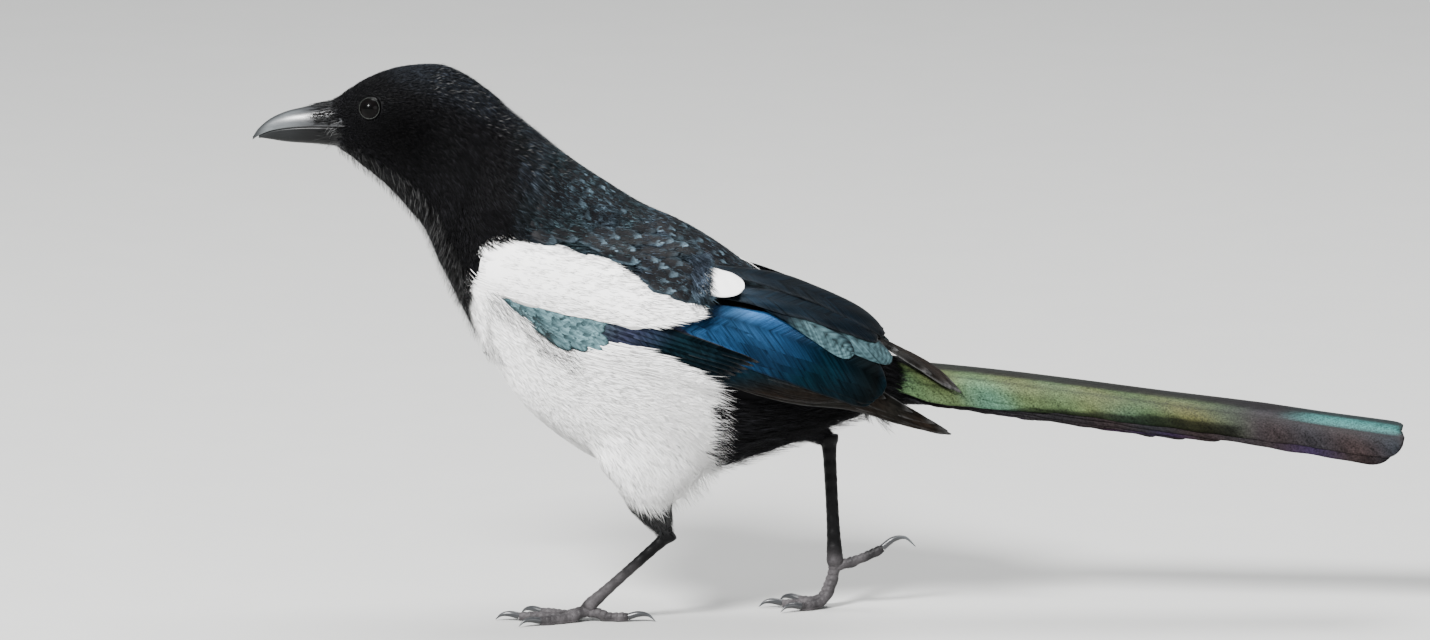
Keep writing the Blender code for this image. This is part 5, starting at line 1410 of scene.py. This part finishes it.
def build_wings():
    """Both folded wings, tier over tier on a thin dark arm."""
    c = colours()
    petrol_blue, violet_grey, blue = c["petrol_blue"], c["violet_grey"], c["bright_blue"]
    brown, teal, dark = c["flight_brown"], c["secondary_teal"], c["secondary_dark"]
    flight = feather_tint(((0, brown), (0.7, brown), (1, brown * 0.8)), 0.5, 0.5, 0.5, 0.2, 0.06)
    # The bright blue near the root is the coverts' own blue and in part a painted highlight.
    panel = feather_tint(((0, violet_grey), (0.12, blue), (0.24, blue), (0.38, blue * 0.45), (0.55, teal),
                          (0.9, dark), (1, teal)), 0.0, 0.3, 0.0, 0.3)
    violet = feather_tint(((0, violet_grey * 1.6), (0.25, violet_grey), (0.5, teal), (0.7, brown), (1, brown)),
                          0.5, 0.5, 0.5, 0.3, 0.035)
    petrol = feather_tint(((0, petrol_blue * 1.5), (0.6, petrol_blue), (1, petrol_blue * 0.8)),
                          0.25, 0.3, 0.0, 0.3, 0.04)
    streak = feather_tint(((0, c["wrist_teal"] * 0.3), (0.3, violet_grey), (0.55, teal * 1.4), (1, dark)),
                          0.8, 0.6, 0.5, 0.4, 0.03)

    def pale(points, s, w, draw):
        barbs = 0.5 + 0.5 * np.sin((s * 3.0 - np.abs(w) * 0.55) * 40)
        tone = blend(petrol_blue, c["light_teal"], smooth(0.42, 0.62, s))
        shade = 0.30 + 0.60 * barbs + 0.2 * waves(points, 3 * MM, 11) - 0.25 * np.exp(-((w / 0.06) ** 2))
        return blend(tone * shade[..., None], petrol_blue, smooth(-0.2, -0.8, w) * 0.8)

    def lesser(points, s, w, draw):
        edge = np.clip(smooth(0.66, 0.92, np.abs(w)) + smooth(0.88, 1.0, s), 0, 1)
        shaft = 1 - 0.4 * np.exp(-((w / 0.08) ** 2))
        shade = (0.25 + 0.75 * smooth(0.15, 0.75, s)) * (0.65 + 0.5 * draw) * (1 - 0.85 * edge) * shaft
        return c["wrist_teal"] * shade[..., None]

    def clear_of_flank(middle, root):
        return np.maximum(inside(middle, WHITE_FLANK_MM), inside(root, WHITE_FLANK_MM)) < -0.5 * MM

    # Each tertial's root and tip along and across, half width, lift, bow, tint and seed.
    tertials = (
        (0.45, 0.15, 0.818, 0.16, 7.6, 1.9, 0.10, pale, 110),
        (0.42, 0.11, 0.665, 0.41, 6.4, 2.2, 0.0, pale, 111),
        (0.40, 0.20, 0.75, 0.09, 6.6, 2.7, 0.02, petrol, 112),
        (0.39, 0.02, 0.78, -0.01, 6.6, 3.1, 0.02, petrol, 113),
    )
    # The primaries' number, lowest and highest feather, reach, half widths, lifts, tint and seed.
    primaries = {
        "left": (9, (0.36, 0.95, 0.78, 1.0), (0.42, 0.60, 0.80, 0.70), 0.20, (4.0, 5.2), (-2.0, -0.5), flight,
                 101),
        "right": (7, (0.40, 0.90, 0.80, 0.92), (0.44, 0.20, 0.82, 0.20), 0.18, (4.0, 4.6), (-0.5, 0.9),
                  flight, 102),
    }
    for word, side in SIDES.items():
        face = wing(word, side)
        tips = face if word == "left" else wing("right tips", side)
        rows = rows_of_feathers(face, (-0.02, 0.19), (0.42, 0.98), 6, 10, 12.0, 108, 0.15, 0.3, clear_of_flank)
        add_fields(f"wing_{word}_feathers", [
            slab(face, (-0.02, 0.70), (0.05, 0.93), -2.0, 3.6, wing_lie, 0.004),
            tier(tips, *primaries[word], roundness=0.3, ragged=0.02, gloss=0.3),
            tier(face, 11, (0.18, 0.90, 0.60, 0.97), (0.26, 0.58, 0.70, 0.83), 0.015, (2.8, 3.4), (-0.8, 0.5),
                 violet, 105, roundness=0.35, gloss=0.6),
            tier(face, 4, (0.31, 0.56, 0.74, 0.76), (0.36, 0.38, 0.795, 0.56), 0.0, (6.4, 8.0), (0.9, 1.5),
                 panel, 103, ragged=0.02, gloss=0.8, camber=0.05),
            tier(face, 9, (0.16, 1.00, 0.40, 1.02), (0.20, 0.60, 0.47, 0.70), 0.0, (1.8, 2.4), (0.4, 1.3),
                 streak, 114, roundness=0.25, gloss=0.8),
            vanes(face, *rows, 3.3, 0.9, lesser, stations=12, columns=9, lie=wing_lie, seed=109, tip=0.45,
                  gloss=0.4),
            *(vanes(face, (p, q), (end_p, end_q), half, lift, tint, seed=seed, lie=wing_lie, camber=0.05,
                    ragged=0.01, gloss=0.7, bow=bow, tip=0.3, **FINE)
              for p, q, end_p, end_q, half, lift, bow, tint, seed in tertials),
        ], "wing", [f"wing_{word}"])


def build_tail():
    """Six pairs of stepped tail feathers, the middle pair longest and on top."""
    c = colours()
    surface = Surface(tail_point, 1.0, 0.5 * MM)
    golden, bronze, violet = c["tail_gold"], c["tail_bronze"], c["tail_violet"]
    gold = feather_tint(((0, golden), (0.2, golden), (0.5, bronze), (0.6, bronze * 0.8), (0.72, violet),
                         (1, violet)),
                        0.0, 0.5, 0.0, 0.25)
    under = feather_tint(((0, violet * 0.7), (0.76, violet), (0.84, violet * (1.3, 0.9, 2.0)), (0.92, violet),
                          (1, violet * 0.5)), 0.0, 0.5, 0.0, 0.2)

    def top(points, s, w, draw):
        x, y = points[..., 0] / MM, points[..., 1] / MM
        tone = gold(points, (x - TAIL_ROOT_MM) / TAIL_LENGTH_MM, w, draw)
        patch = smooth(0.15, 0.9, waves(points, 9 * MM, 27)) * smooth(150, 110, x) * 0.4
        tone = tone * (1 - 0.92 * np.exp(-(((w + 0.25) / 0.07) ** 2)) * smooth(145, 160, x))[..., None]
        band = smooth(166, 186, x) * smooth(-4.2, -2.2, y)
        tone = blend(tone, c["tail_blue"], np.clip(patch + band, 0, 1))
        # Painted shade: the near side past the lit edge is darkened.
        past = y - (np.interp(x, *np.transpose(TAIL_EDGE_MM)) + 0.5 * waves(points, 5 * MM, 28))
        shade = 0.75 * smooth(0.25, -0.1, past) + 0.1 * smooth(-0.1, -0.6, past)
        tone = tone * (1 - smooth(158, 150, x) * shade)[..., None]
        # Painted shade on the far vane along the ridge, and the feathers' own dark ends at the tip.
        ridge = smooth(-0.5, 1.5, y) * (1 - band * smooth(4, 2, y))
        return blend(tone, violet * 0.6, np.clip(ridge + smooth(212.5, 215, x), 0, 1) * 0.9)

    look = {"columns": 15, "thickness": 0.45, "camber": 0.03, "sink": 0.2, "root": 0.66, "gloss": 0.6}
    fields = []
    for pair, (tip_x, root_reach, tip_reach, half) in enumerate(TAIL_PAIRS_MM):
        for side in (-1, 1):
            depth = (pair + (0 if side < 0 else 0.5)) * 0.6 + 0.32
            roots, tips = (TAIL_ROOT_MM * MM, side * root_reach * MM), (tip_x * MM, side * tip_reach * MM)
            fields.append(vanes(surface, roots, tips, half, -depth, top if pair == 0 else under,
                                stations=90 if pair < 2 else 50, seed=120 + pair * 2 + side, tip=0.05, **look))
    base = np.array([TAIL_ROOT_MM, -9.0]) * MM
    fields.append(vanes(surface, base, base + (0.08, -0.0005), 7.5, -0.62, top, 0.5, 60, seed=140, ragged=0.02,
                        tip=0.3, **look))
    add_fields("tail_feathers", fields, "tail", ["tail"])


def build_bill():
    """The upper and the lower half of the bill: an arch on a flat mouth face, with a fine cutting edge, a
    painted highlight on the upper half and painted shade on the lower.
    """
    c = colours()
    for name, lower in (("upper_bill", False), ("lower_bill", True)):
        t = np.linspace(LOWER_BILL_START if lower else 0.0, 6.6, 100)[:, None]
        arch = bill_point(t, np.linspace(0, math.pi, 33)[None], lower)
        share = np.linspace(-1, 1, 12)[1:-1][None, :, None]
        edge = (arch[:, :1] + arch[:, -1:]) / 2 + (arch[:, -1:] - arch[:, :1]) / 2 * share * 0.98
        edge[..., 2] += (1 - share[..., 0] ** 2) * (0.5 if not lower else -0.5) * MM * smooth(0, 2, t)
        points, faces = tube(np.concatenate([arch, edge[:, ::-1]], axis=1))
        pale = np.clip(aft(-192, -205, points) * 0.6 + aft(-206, -215, points) * 0.5, 0, 1)
        # Painted light: the upper half is bright on its sides as a highlight and darker along its ridge, and
        # the lower half is dark as shade.
        shade = 0.12 + (not lower) * (0.08 + 0.8 * smooth(0.8, 2.6, np.abs(points[:, 1]) / MM))
        tone = blend(c["horn"], c["horn_pale"], pale) * shade[..., None]
        add_piece(name + "_horn", points, faces, "dark_horn" if lower else "horn", [name], tone)


def turned(profile, centre, axis, sides):
    """A form turned about an axis: rows of distance along the axis and distance from it."""
    ring = ring_about(axis, sides)
    along, away = np.moveaxis(np.asarray(profile, float), -1, 0)
    return centre + along[:, None, None] * axis + away[:, None, None] * ring


def ring_about(axis, sides):
    """Unit vectors square to an axis, evenly round it."""
    first = unit(np.cross(axis, (0, 0, 1.0)))
    a = np.linspace(0, 2 * math.pi, sides, endpoint=False)[:, None]
    return first * np.cos(a) + np.cross(axis, first) * np.sin(a)


def build_eyes():
    """Eyeballs with a raised clear front, and the thin crinkled rim of each lid: a ring whose section is
    a small circle, swollen by crinkle = 1 + 0.10 sin 19a + 0.06 sin (31a + 1)."""
    c = colours()
    for word, side in SIDES.items():
        mirror = np.array([1, side, 1])
        centre, facing = np.array(EYE_MM) * MM * mirror, unit(np.array(EYE_FACING) * mirror)
        angle = np.linspace(0.02, math.pi - 0.02, 60)
        bulge = 0.35 * MM * np.exp(-((angle / 0.55) ** 2))
        profile = np.stack([np.cos(angle) * (EYE_RADIUS + bulge), np.sin(angle) * (EYE_RADIUS + bulge * 0.3)],
                           -1)
        points, faces = tube(turned(profile, centre, facing, 48))
        away = np.linalg.norm(np.cross(points - centre, facing), axis=-1) / MM
        front = (points - centre) @ facing > 0
        iris = smooth(1.75, 2.0, away) * smooth(3.6, 3.2, away) * front
        tone = blend(c["pupil"], c["iris"], iris)
        add_piece(f"eye_{word}_globe", points, faces, "eye", [f"eye_{word}"], tone)
        turn = np.linspace(0, 2 * math.pi, 14, endpoint=False)[None]
        a = np.linspace(0, 2 * math.pi, 72, endpoint=False)[:, None]
        crinkle = 1 + 0.10 * np.sin(a * 19) + 0.06 * np.sin(a * 31 + 1)
        reach = (LID_REACH_MM + LID_RADIUS_MM * np.cos(turn) * crinkle) * MM
        rise = (LID_RISE_MM + LID_RADIUS_MM * np.sin(turn) * crinkle) * MM
        loop = centre + ring_about(facing, 72)[:, None] * reach[..., None] + facing * rise[..., None]
        rows, columns = reach.shape
        i, j = np.indices((rows, columns))
        m, n = (i + 1) % rows, (j + 1) % columns
        quads = np.stack([i * columns + j, m * columns + j, m * columns + n, i * columns + n], -1)
        points = loop.reshape(-1, 3)
        # The lid's inner rim is paler: partly its own colour and partly a painted highlight of the wet rim.
        inner = smooth(LID_REACH_MM, 3.7, np.linalg.norm(np.cross(points - centre, facing), axis=-1) / MM)
        tone = blend(c["face_black"], c["lid"], inner)
        add_piece(f"eyelid_{word}", points, facing_out(points - centre, [quads.reshape(-1, 4)]), "scale",
                  (), tone)


def toe_courses(word, toe):
    """The courses of a toe and of its claw, in metres."""
    heading, walk, claw = TOES[word][toe]
    side = SIDES[word]
    turn = math.radians(heading) * -side
    way = np.array([-math.cos(turn), math.sin(turn), 0.0])
    ankle = np.array([LEGS_MM[word][1][0], side * LEGS_MM[word][1][1], 0.0]) * MM
    up = np.array([0, 0, 1.0])
    points = np.array([ankle + way * d * MM + up * z * MM for d, z in walk])
    nails = np.array([points[-1] + way * d * MM + up * z * MM for d, z in claw])
    return points, nails


def plates(size, depth):
    """A function of distance and angle that raises overlapping plates, size mm long, on the upper side."""
    def shape(distance, angle):
        step = (distance / (size * MM)) % 1
        ridge = smooth(0, 0.82, step) * smooth(1.0, 0.9, step)
        upper = smooth(-0.2, 0.5, np.sin(angle))
        pads = 0.07 * np.sin(distance / (5.2 * MM) * 2 * math.pi) * smooth(0.2, -0.6, np.sin(angle))
        return 1 + depth * (ridge - 0.5) * upper + pads

    return shape


def build_legs():
    """Bare shanks with plates down their front, and feet of four toes with their claws, painted paler low down
    where sunlight falls.
    """
    c = colours()
    for word, side in SIDES.items():
        mirror = np.array([1, side, 1])
        heel, ankle = (np.array(place, float) * mirror * MM for place in LEGS_MM[word])
        down = unit(ankle - heel)
        course = [heel - down * 2.4 * MM, heel, heel + down * 4 * MM]
        course += [heel + (ankle - heel) * s for s in (0.35, 0.6, 0.8)]
        course += [ankle - down * 1.5 * MM, ankle + down * 1.2 * MM]
        radii = np.array(SHANK_RADII_MM) * MM * (0.98 if word == "left" else 1.2)
        solids = [route(course, radii, 28, 150, (0, 1, 0), plates(3.0, 0.13))]
        claws = {}
        for place, toe in enumerate(TOES[word]):
            walk, nail = toe_courses(word, toe)
            walk[0, 2] -= place * 0.35 * MM
            solids.append(route(walk, np.array(TOE_RADII_MM) * MM, 24, 90, (0, 0, 1), plates(2.3, 0.13)))
            claws[toe] = route(nail, np.array(CLAW_RADII_MM) * MM, 20, 40, (0, 0, 1))
        points, faces = joined(solids)
        points[:, 2] = np.maximum(points[:, 2], 0.05 * MM)
        height = points[:, 2] / MM
        sole = 0.4 * smooth(1.4, 0.3, height)
        # Painted light: the lower shanks and feet are paler where sunlight falls on them, and the soles are
        # paler.
        painted_light_and_soles = smooth(26, 14, height) * (0.3 + 0.2 * waves(points, 2 * MM, 15)) + sole
        tone = blend(c["leg"], c["leg_pale"], np.clip(painted_light_and_soles, 0, 1))
        add_piece(f"leg_{word}", points, faces, "scale", [f"tarsus_{word}", f"foot_{word}"],
                  tone)
        for toe, (points, faces) in claws.items():
            points[:, 2] = np.maximum(points[:, 2], 0.03 * MM)
            root = np.linalg.norm(points - points[0], axis=-1)
            tone = blend(c["horn"], c["horn_pale"], smooth(6 * MM, 11 * MM, root) * 0.5)
            add_piece(f"claw_{word}_{toe}_horn", points, faces, "horn", [f"claw_{word}_{toe}"], tone)


# Half the floor's side and its points along a side, where its rim starts and stops rising, and how high.
FLOOR_REACH, FLOOR_POINTS = 16, 33
RIM_START, RIM_END, RIM_HEIGHT = 11, 18, 0.4
AIM = (-0.02, 0.0, 0.12)
# Each light's name, place, size and power.
LIGHTS = (
    ("key_light", (-1.1, -1.7, 1.9), 0.7, 250.0),
    ("top_light", (0.35, 0.5, 2.0), 1.2, 62.0),
    ("fill_light", (1.6, -1.8, 0.7), 1.4, 18.0),
)
ROOM_TINT = (0.92, 0.96, 1.0, 1.0)
CAMERA_PLACE = (-0.0429, -4.924, 0.981)
CAMERA_TURN = (math.radians(80), 0, 0)
CAMERA_SENSOR, CAMERA_LENS = 36.0, 335.8


def build_stage():
    """A pale floor whose far rim rises gently, soft lights, and the camera at the picture's angle."""
    columns = FLOOR_POINTS
    span = np.linspace(-FLOOR_REACH, FLOOR_REACH, columns)
    across, along = span[None], span[:, None]
    grid = vec(across, along, RIM_HEIGHT * smooth(RIM_START, RIM_END, np.hypot(across, along)))
    a = (np.arange(columns - 1)[:, None] * columns + np.arange(columns - 1)).ravel()
    mesh = bpy.data.meshes.new("pale_floor")
    quads = np.stack([a, a + 1, a + columns + 1, a + columns], -1)
    mesh.from_pydata(grid.reshape(-1, 3).tolist(), [], quads.tolist())
    mesh.shade_smooth()
    mesh.materials.append(floor_look("pale_floor", colours()["stage"]))
    floor = placed("pale_floor", mesh)
    for name, place, size, power in LIGHTS:
        light = bpy.data.lights.new(name, "AREA")
        light.shape, light.size, light.energy = "DISK", size, power
        lamp = placed(name, light)
        lamp.location = place
        lamp.rotation_euler = (Vector(AIM) - Vector(place)).to_track_quat("-Z", "Y").to_euler()
    world = bpy.data.worlds.new("soft_room")
    world.use_nodes = True
    background = world.node_tree.nodes["Background"]
    background.inputs[0].default_value = ROOM_TINT
    background.inputs[1].default_value = bpy.context.scene.magpie_sizes.room_light
    bpy.context.scene.world = world
    camera = bpy.data.cameras.new("picture_camera")
    camera.sensor_width, camera.lens, camera.clip_end = CAMERA_SENSOR, CAMERA_LENS, 100.0
    viewer = placed("picture_camera", camera)
    viewer.location, viewer.rotation_euler = CAMERA_PLACE, CAMERA_TURN
    bpy.context.scene.camera = viewer


def colour_setting(name, description, value):
    """A colour that the user may change, from a linear array."""
    return bpy.props.FloatVectorProperty(
        name=name, description=description, subtype="COLOR", size=3, min=0.0, max=2.0,
        default=tuple(float(v) for v in value),
    )


class MagpieColours(bpy.types.PropertyGroup):
    """The colours of the bird and of its stage."""

    black: colour_setting("Black", "Plumage of neck and bib", srgb(13, 13, 15))
    face_black: colour_setting("Face black", "Plumage of the cheeks", srgb(2, 2, 3))
    # The crown's and the mantle's sheens are painted into the colour; the mantle's lies along its feathers'
    # fringes.
    crown_gloss: colour_setting("Crown gloss", "Sheen of the crown", srgb(28, 32, 38))
    mantle_gloss: colour_setting("Mantle gloss", "Fringes of the back's feathers", srgb(88, 108, 120))
    white: colour_setting("White", "Plumage of belly and shoulders", srgb(250, 249, 248))
    white_shade: colour_setting("White shade", "Greyer patches of the white", srgb(240, 239, 238))
    petrol_blue: colour_setting("Petrol blue", "Upper tertials", srgb(2, 12, 19))
    # Bright blue: partly the coverts' own blue and partly a painted highlight.
    bright_blue: colour_setting("Bright blue", "Greater coverts", srgb(25, 54, 84))
    light_teal: colour_setting("Light teal", "Lobes of the lower tertials", srgb(80, 108, 114))
    wrist_teal: colour_setting("Wrist teal", "Small coverts at the wrist", srgb(96, 126, 132))
    violet_grey: colour_setting("Violet grey", "Primary coverts", srgb(42, 48, 68))
    secondary_teal: colour_setting("Secondary teal", "Secondaries", srgb(6, 22, 29))
    secondary_dark: colour_setting("Secondary dark", "Ends of the secondaries", srgb(4, 9, 11))
    flight_brown: colour_setting("Flight brown", "Primaries", srgb(20, 17, 14))
    tail_gold: colour_setting("Tail gold", "Root half of the tail", srgb(54, 66, 42))
    tail_bronze: colour_setting("Tail bronze", "Middle of the tail", srgb(50, 58, 36))
    tail_violet: colour_setting("Tail violet", "Under feathers of the tail", srgb(32, 29, 31))
    tail_blue: colour_setting("Tail blue", "Band near the tail's end", srgb(44, 84, 82))
    horn: colour_setting("Horn", "Bill and claws", srgb(44, 45, 47))
    horn_pale: colour_setting("Pale horn", "Fore part of the bill", srgb(90, 94, 96))
    leg: colour_setting("Leg", "Plates of shanks and toes", srgb(6, 6, 7))
    # Painted sunlight on the lower shanks and feet, and the paler soles.
    leg_pale: colour_setting("Pale leg", "Worn plates and soles", srgb(104, 100, 102))
    # The lid's pale rim is partly its own colour and partly a painted highlight.
    lid: colour_setting("Lid", "Rim of the eyelids", srgb(84, 88, 82))
    iris: colour_setting("Iris", "Iris of the eyes", srgb(5, 3, 3))
    pupil: colour_setting("Pupil", "Pupil of the eyes", srgb(1, 1, 1))
    stage: colour_setting("Stage", "Floor", (0.46, 0.46, 0.45))


class MagpieSizes(bpy.types.PropertyGroup):
    """Sizes that a user may change."""

    skin_detail: bpy.props.FloatProperty(
        name="Skin detail", description="Grain of the merged skin", default=1.2 * MM, min=0.5 * MM, max=5 * MM,
        unit="LENGTH", precision=5,
    )
    room_light: bpy.props.FloatProperty(
        name="Room light", description="Strength of the light from all round", default=0.42, min=0.0, max=5.0
    )


class MAGPIE_OT_skin(bpy.types.Operator):
    """Makes the one skin under the plumage"""

    bl_idname = "magpie.skin"
    bl_label = "Skin"

    def execute(self, context):
        build_skin()
        return {"FINISHED"}


class MAGPIE_OT_head(bpy.types.Operator):
    """Makes the head's plumage and the bristles over the nostrils"""

    bl_idname = "magpie.head"
    bl_label = "Head plumage"

    def execute(self, context):
        build_head()
        return {"FINISHED"}


class MAGPIE_OT_neck(bpy.types.Operator):
    """Makes the plumage of the neck and the bib"""

    bl_idname = "magpie.neck"
    bl_label = "Neck plumage"

    def execute(self, context):
        build_neck()
        return {"FINISHED"}


class MAGPIE_OT_mantle(bpy.types.Operator):
    """Makes the back's feathers"""

    bl_idname = "magpie.mantle"
    bl_label = "Mantle plumage"

    def execute(self, context):
        build_mantle()
        return {"FINISHED"}


class MAGPIE_OT_shoulders(bpy.types.Operator):
    """Makes the white shoulder feathers"""

    bl_idname = "magpie.shoulders"
    bl_label = "Shoulder plumage"

    def execute(self, context):
        build_shoulders()
        return {"FINISHED"}


class MAGPIE_OT_belly(bpy.types.Operator):
    """Makes the white plumage of breast, belly and flanks"""

    bl_idname = "magpie.belly"
    bl_label = "Belly plumage"

    def execute(self, context):
        build_belly()
        return {"FINISHED"}


class MAGPIE_OT_rump(bpy.types.Operator):
    """Makes the black plumage of the vent and the tail's coverts"""

    bl_idname = "magpie.rump"
    bl_label = "Rump plumage"

    def execute(self, context):
        build_vent()
        return {"FINISHED"}


class MAGPIE_OT_thighs(bpy.types.Operator):
    """Makes the plumage of both thighs"""

    bl_idname = "magpie.thighs"
    bl_label = "Thigh plumage"

    def execute(self, context):
        build_thighs()
        return {"FINISHED"}


class MAGPIE_OT_wings(bpy.types.Operator):
    """Makes both folded wings"""

    bl_idname = "magpie.wings"
    bl_label = "Wings"

    def execute(self, context):
        build_wings()
        return {"FINISHED"}


class MAGPIE_OT_tail(bpy.types.Operator):
    """Makes the stepped tail"""

    bl_idname = "magpie.tail"
    bl_label = "Tail"

    def execute(self, context):
        build_tail()
        return {"FINISHED"}


class MAGPIE_OT_bill(bpy.types.Operator):
    """Makes both halves of the bill"""

    bl_idname = "magpie.bill"
    bl_label = "Bill"

    def execute(self, context):
        build_bill()
        return {"FINISHED"}


class MAGPIE_OT_eyes(bpy.types.Operator):
    """Makes the eyeballs and the lids' rims"""

    bl_idname = "magpie.eyes"
    bl_label = "Eyes"

    def execute(self, context):
        build_eyes()
        return {"FINISHED"}


class MAGPIE_OT_legs(bpy.types.Operator):
    """Makes shanks, feet and claws"""

    bl_idname = "magpie.legs"
    bl_label = "Legs"

    def execute(self, context):
        build_legs()
        return {"FINISHED"}


class MAGPIE_OT_stage(bpy.types.Operator):
    """Makes the floor, the lights and the camera"""

    bl_idname = "magpie.stage"
    bl_label = "Stage"

    def execute(self, context):
        build_stage()
        return {"FINISHED"}


STEPS = (
    MAGPIE_OT_skin, MAGPIE_OT_head, MAGPIE_OT_neck, MAGPIE_OT_mantle, MAGPIE_OT_shoulders, MAGPIE_OT_belly,
    MAGPIE_OT_rump, MAGPIE_OT_thighs, MAGPIE_OT_wings, MAGPIE_OT_tail, MAGPIE_OT_bill, MAGPIE_OT_eyes,
    MAGPIE_OT_legs, MAGPIE_OT_stage,
)


class MAGPIE_PT_steps(bpy.types.Panel):
    """Lists the steps that build the bird, with its sizes and colours"""

    bl_idname = "MAGPIE_PT_steps"
    bl_label = "Magpie"
    bl_space_type = "VIEW_3D"
    bl_region_type = "UI"
    bl_category = "Magpie"

    def draw(self, context):
        for work in STEPS:
            self.layout.operator(work.bl_idname)
        for group in (context.scene.magpie_sizes, context.scene.magpie_colours):
            for key in group.bl_rna.properties.keys():
                if key not in ("rna_type", "name"):
                    self.layout.prop(group, key)


CLASSES = (MagpieColours, MagpieSizes, *STEPS, MAGPIE_PT_steps)


def register():
    """Adds the settings, the steps and the panel."""
    for found in CLASSES:
        bpy.utils.register_class(found)
    bpy.types.Scene.magpie_colours = bpy.props.PointerProperty(type=MagpieColours)
    bpy.types.Scene.magpie_sizes = bpy.props.PointerProperty(type=MagpieSizes)


def unregister():
    """Takes them out again."""
    del bpy.types.Scene.magpie_sizes
    del bpy.types.Scene.magpie_colours
    for found in reversed(CLASSES):
        bpy.utils.unregister_class(found)


def main():
    """Builds every piece in order."""
    register()
    for work in STEPS:
        group, name = work.bl_idname.split(".")
        getattr(getattr(bpy.ops, group), name)()


if __name__ == "__main__":
    main()
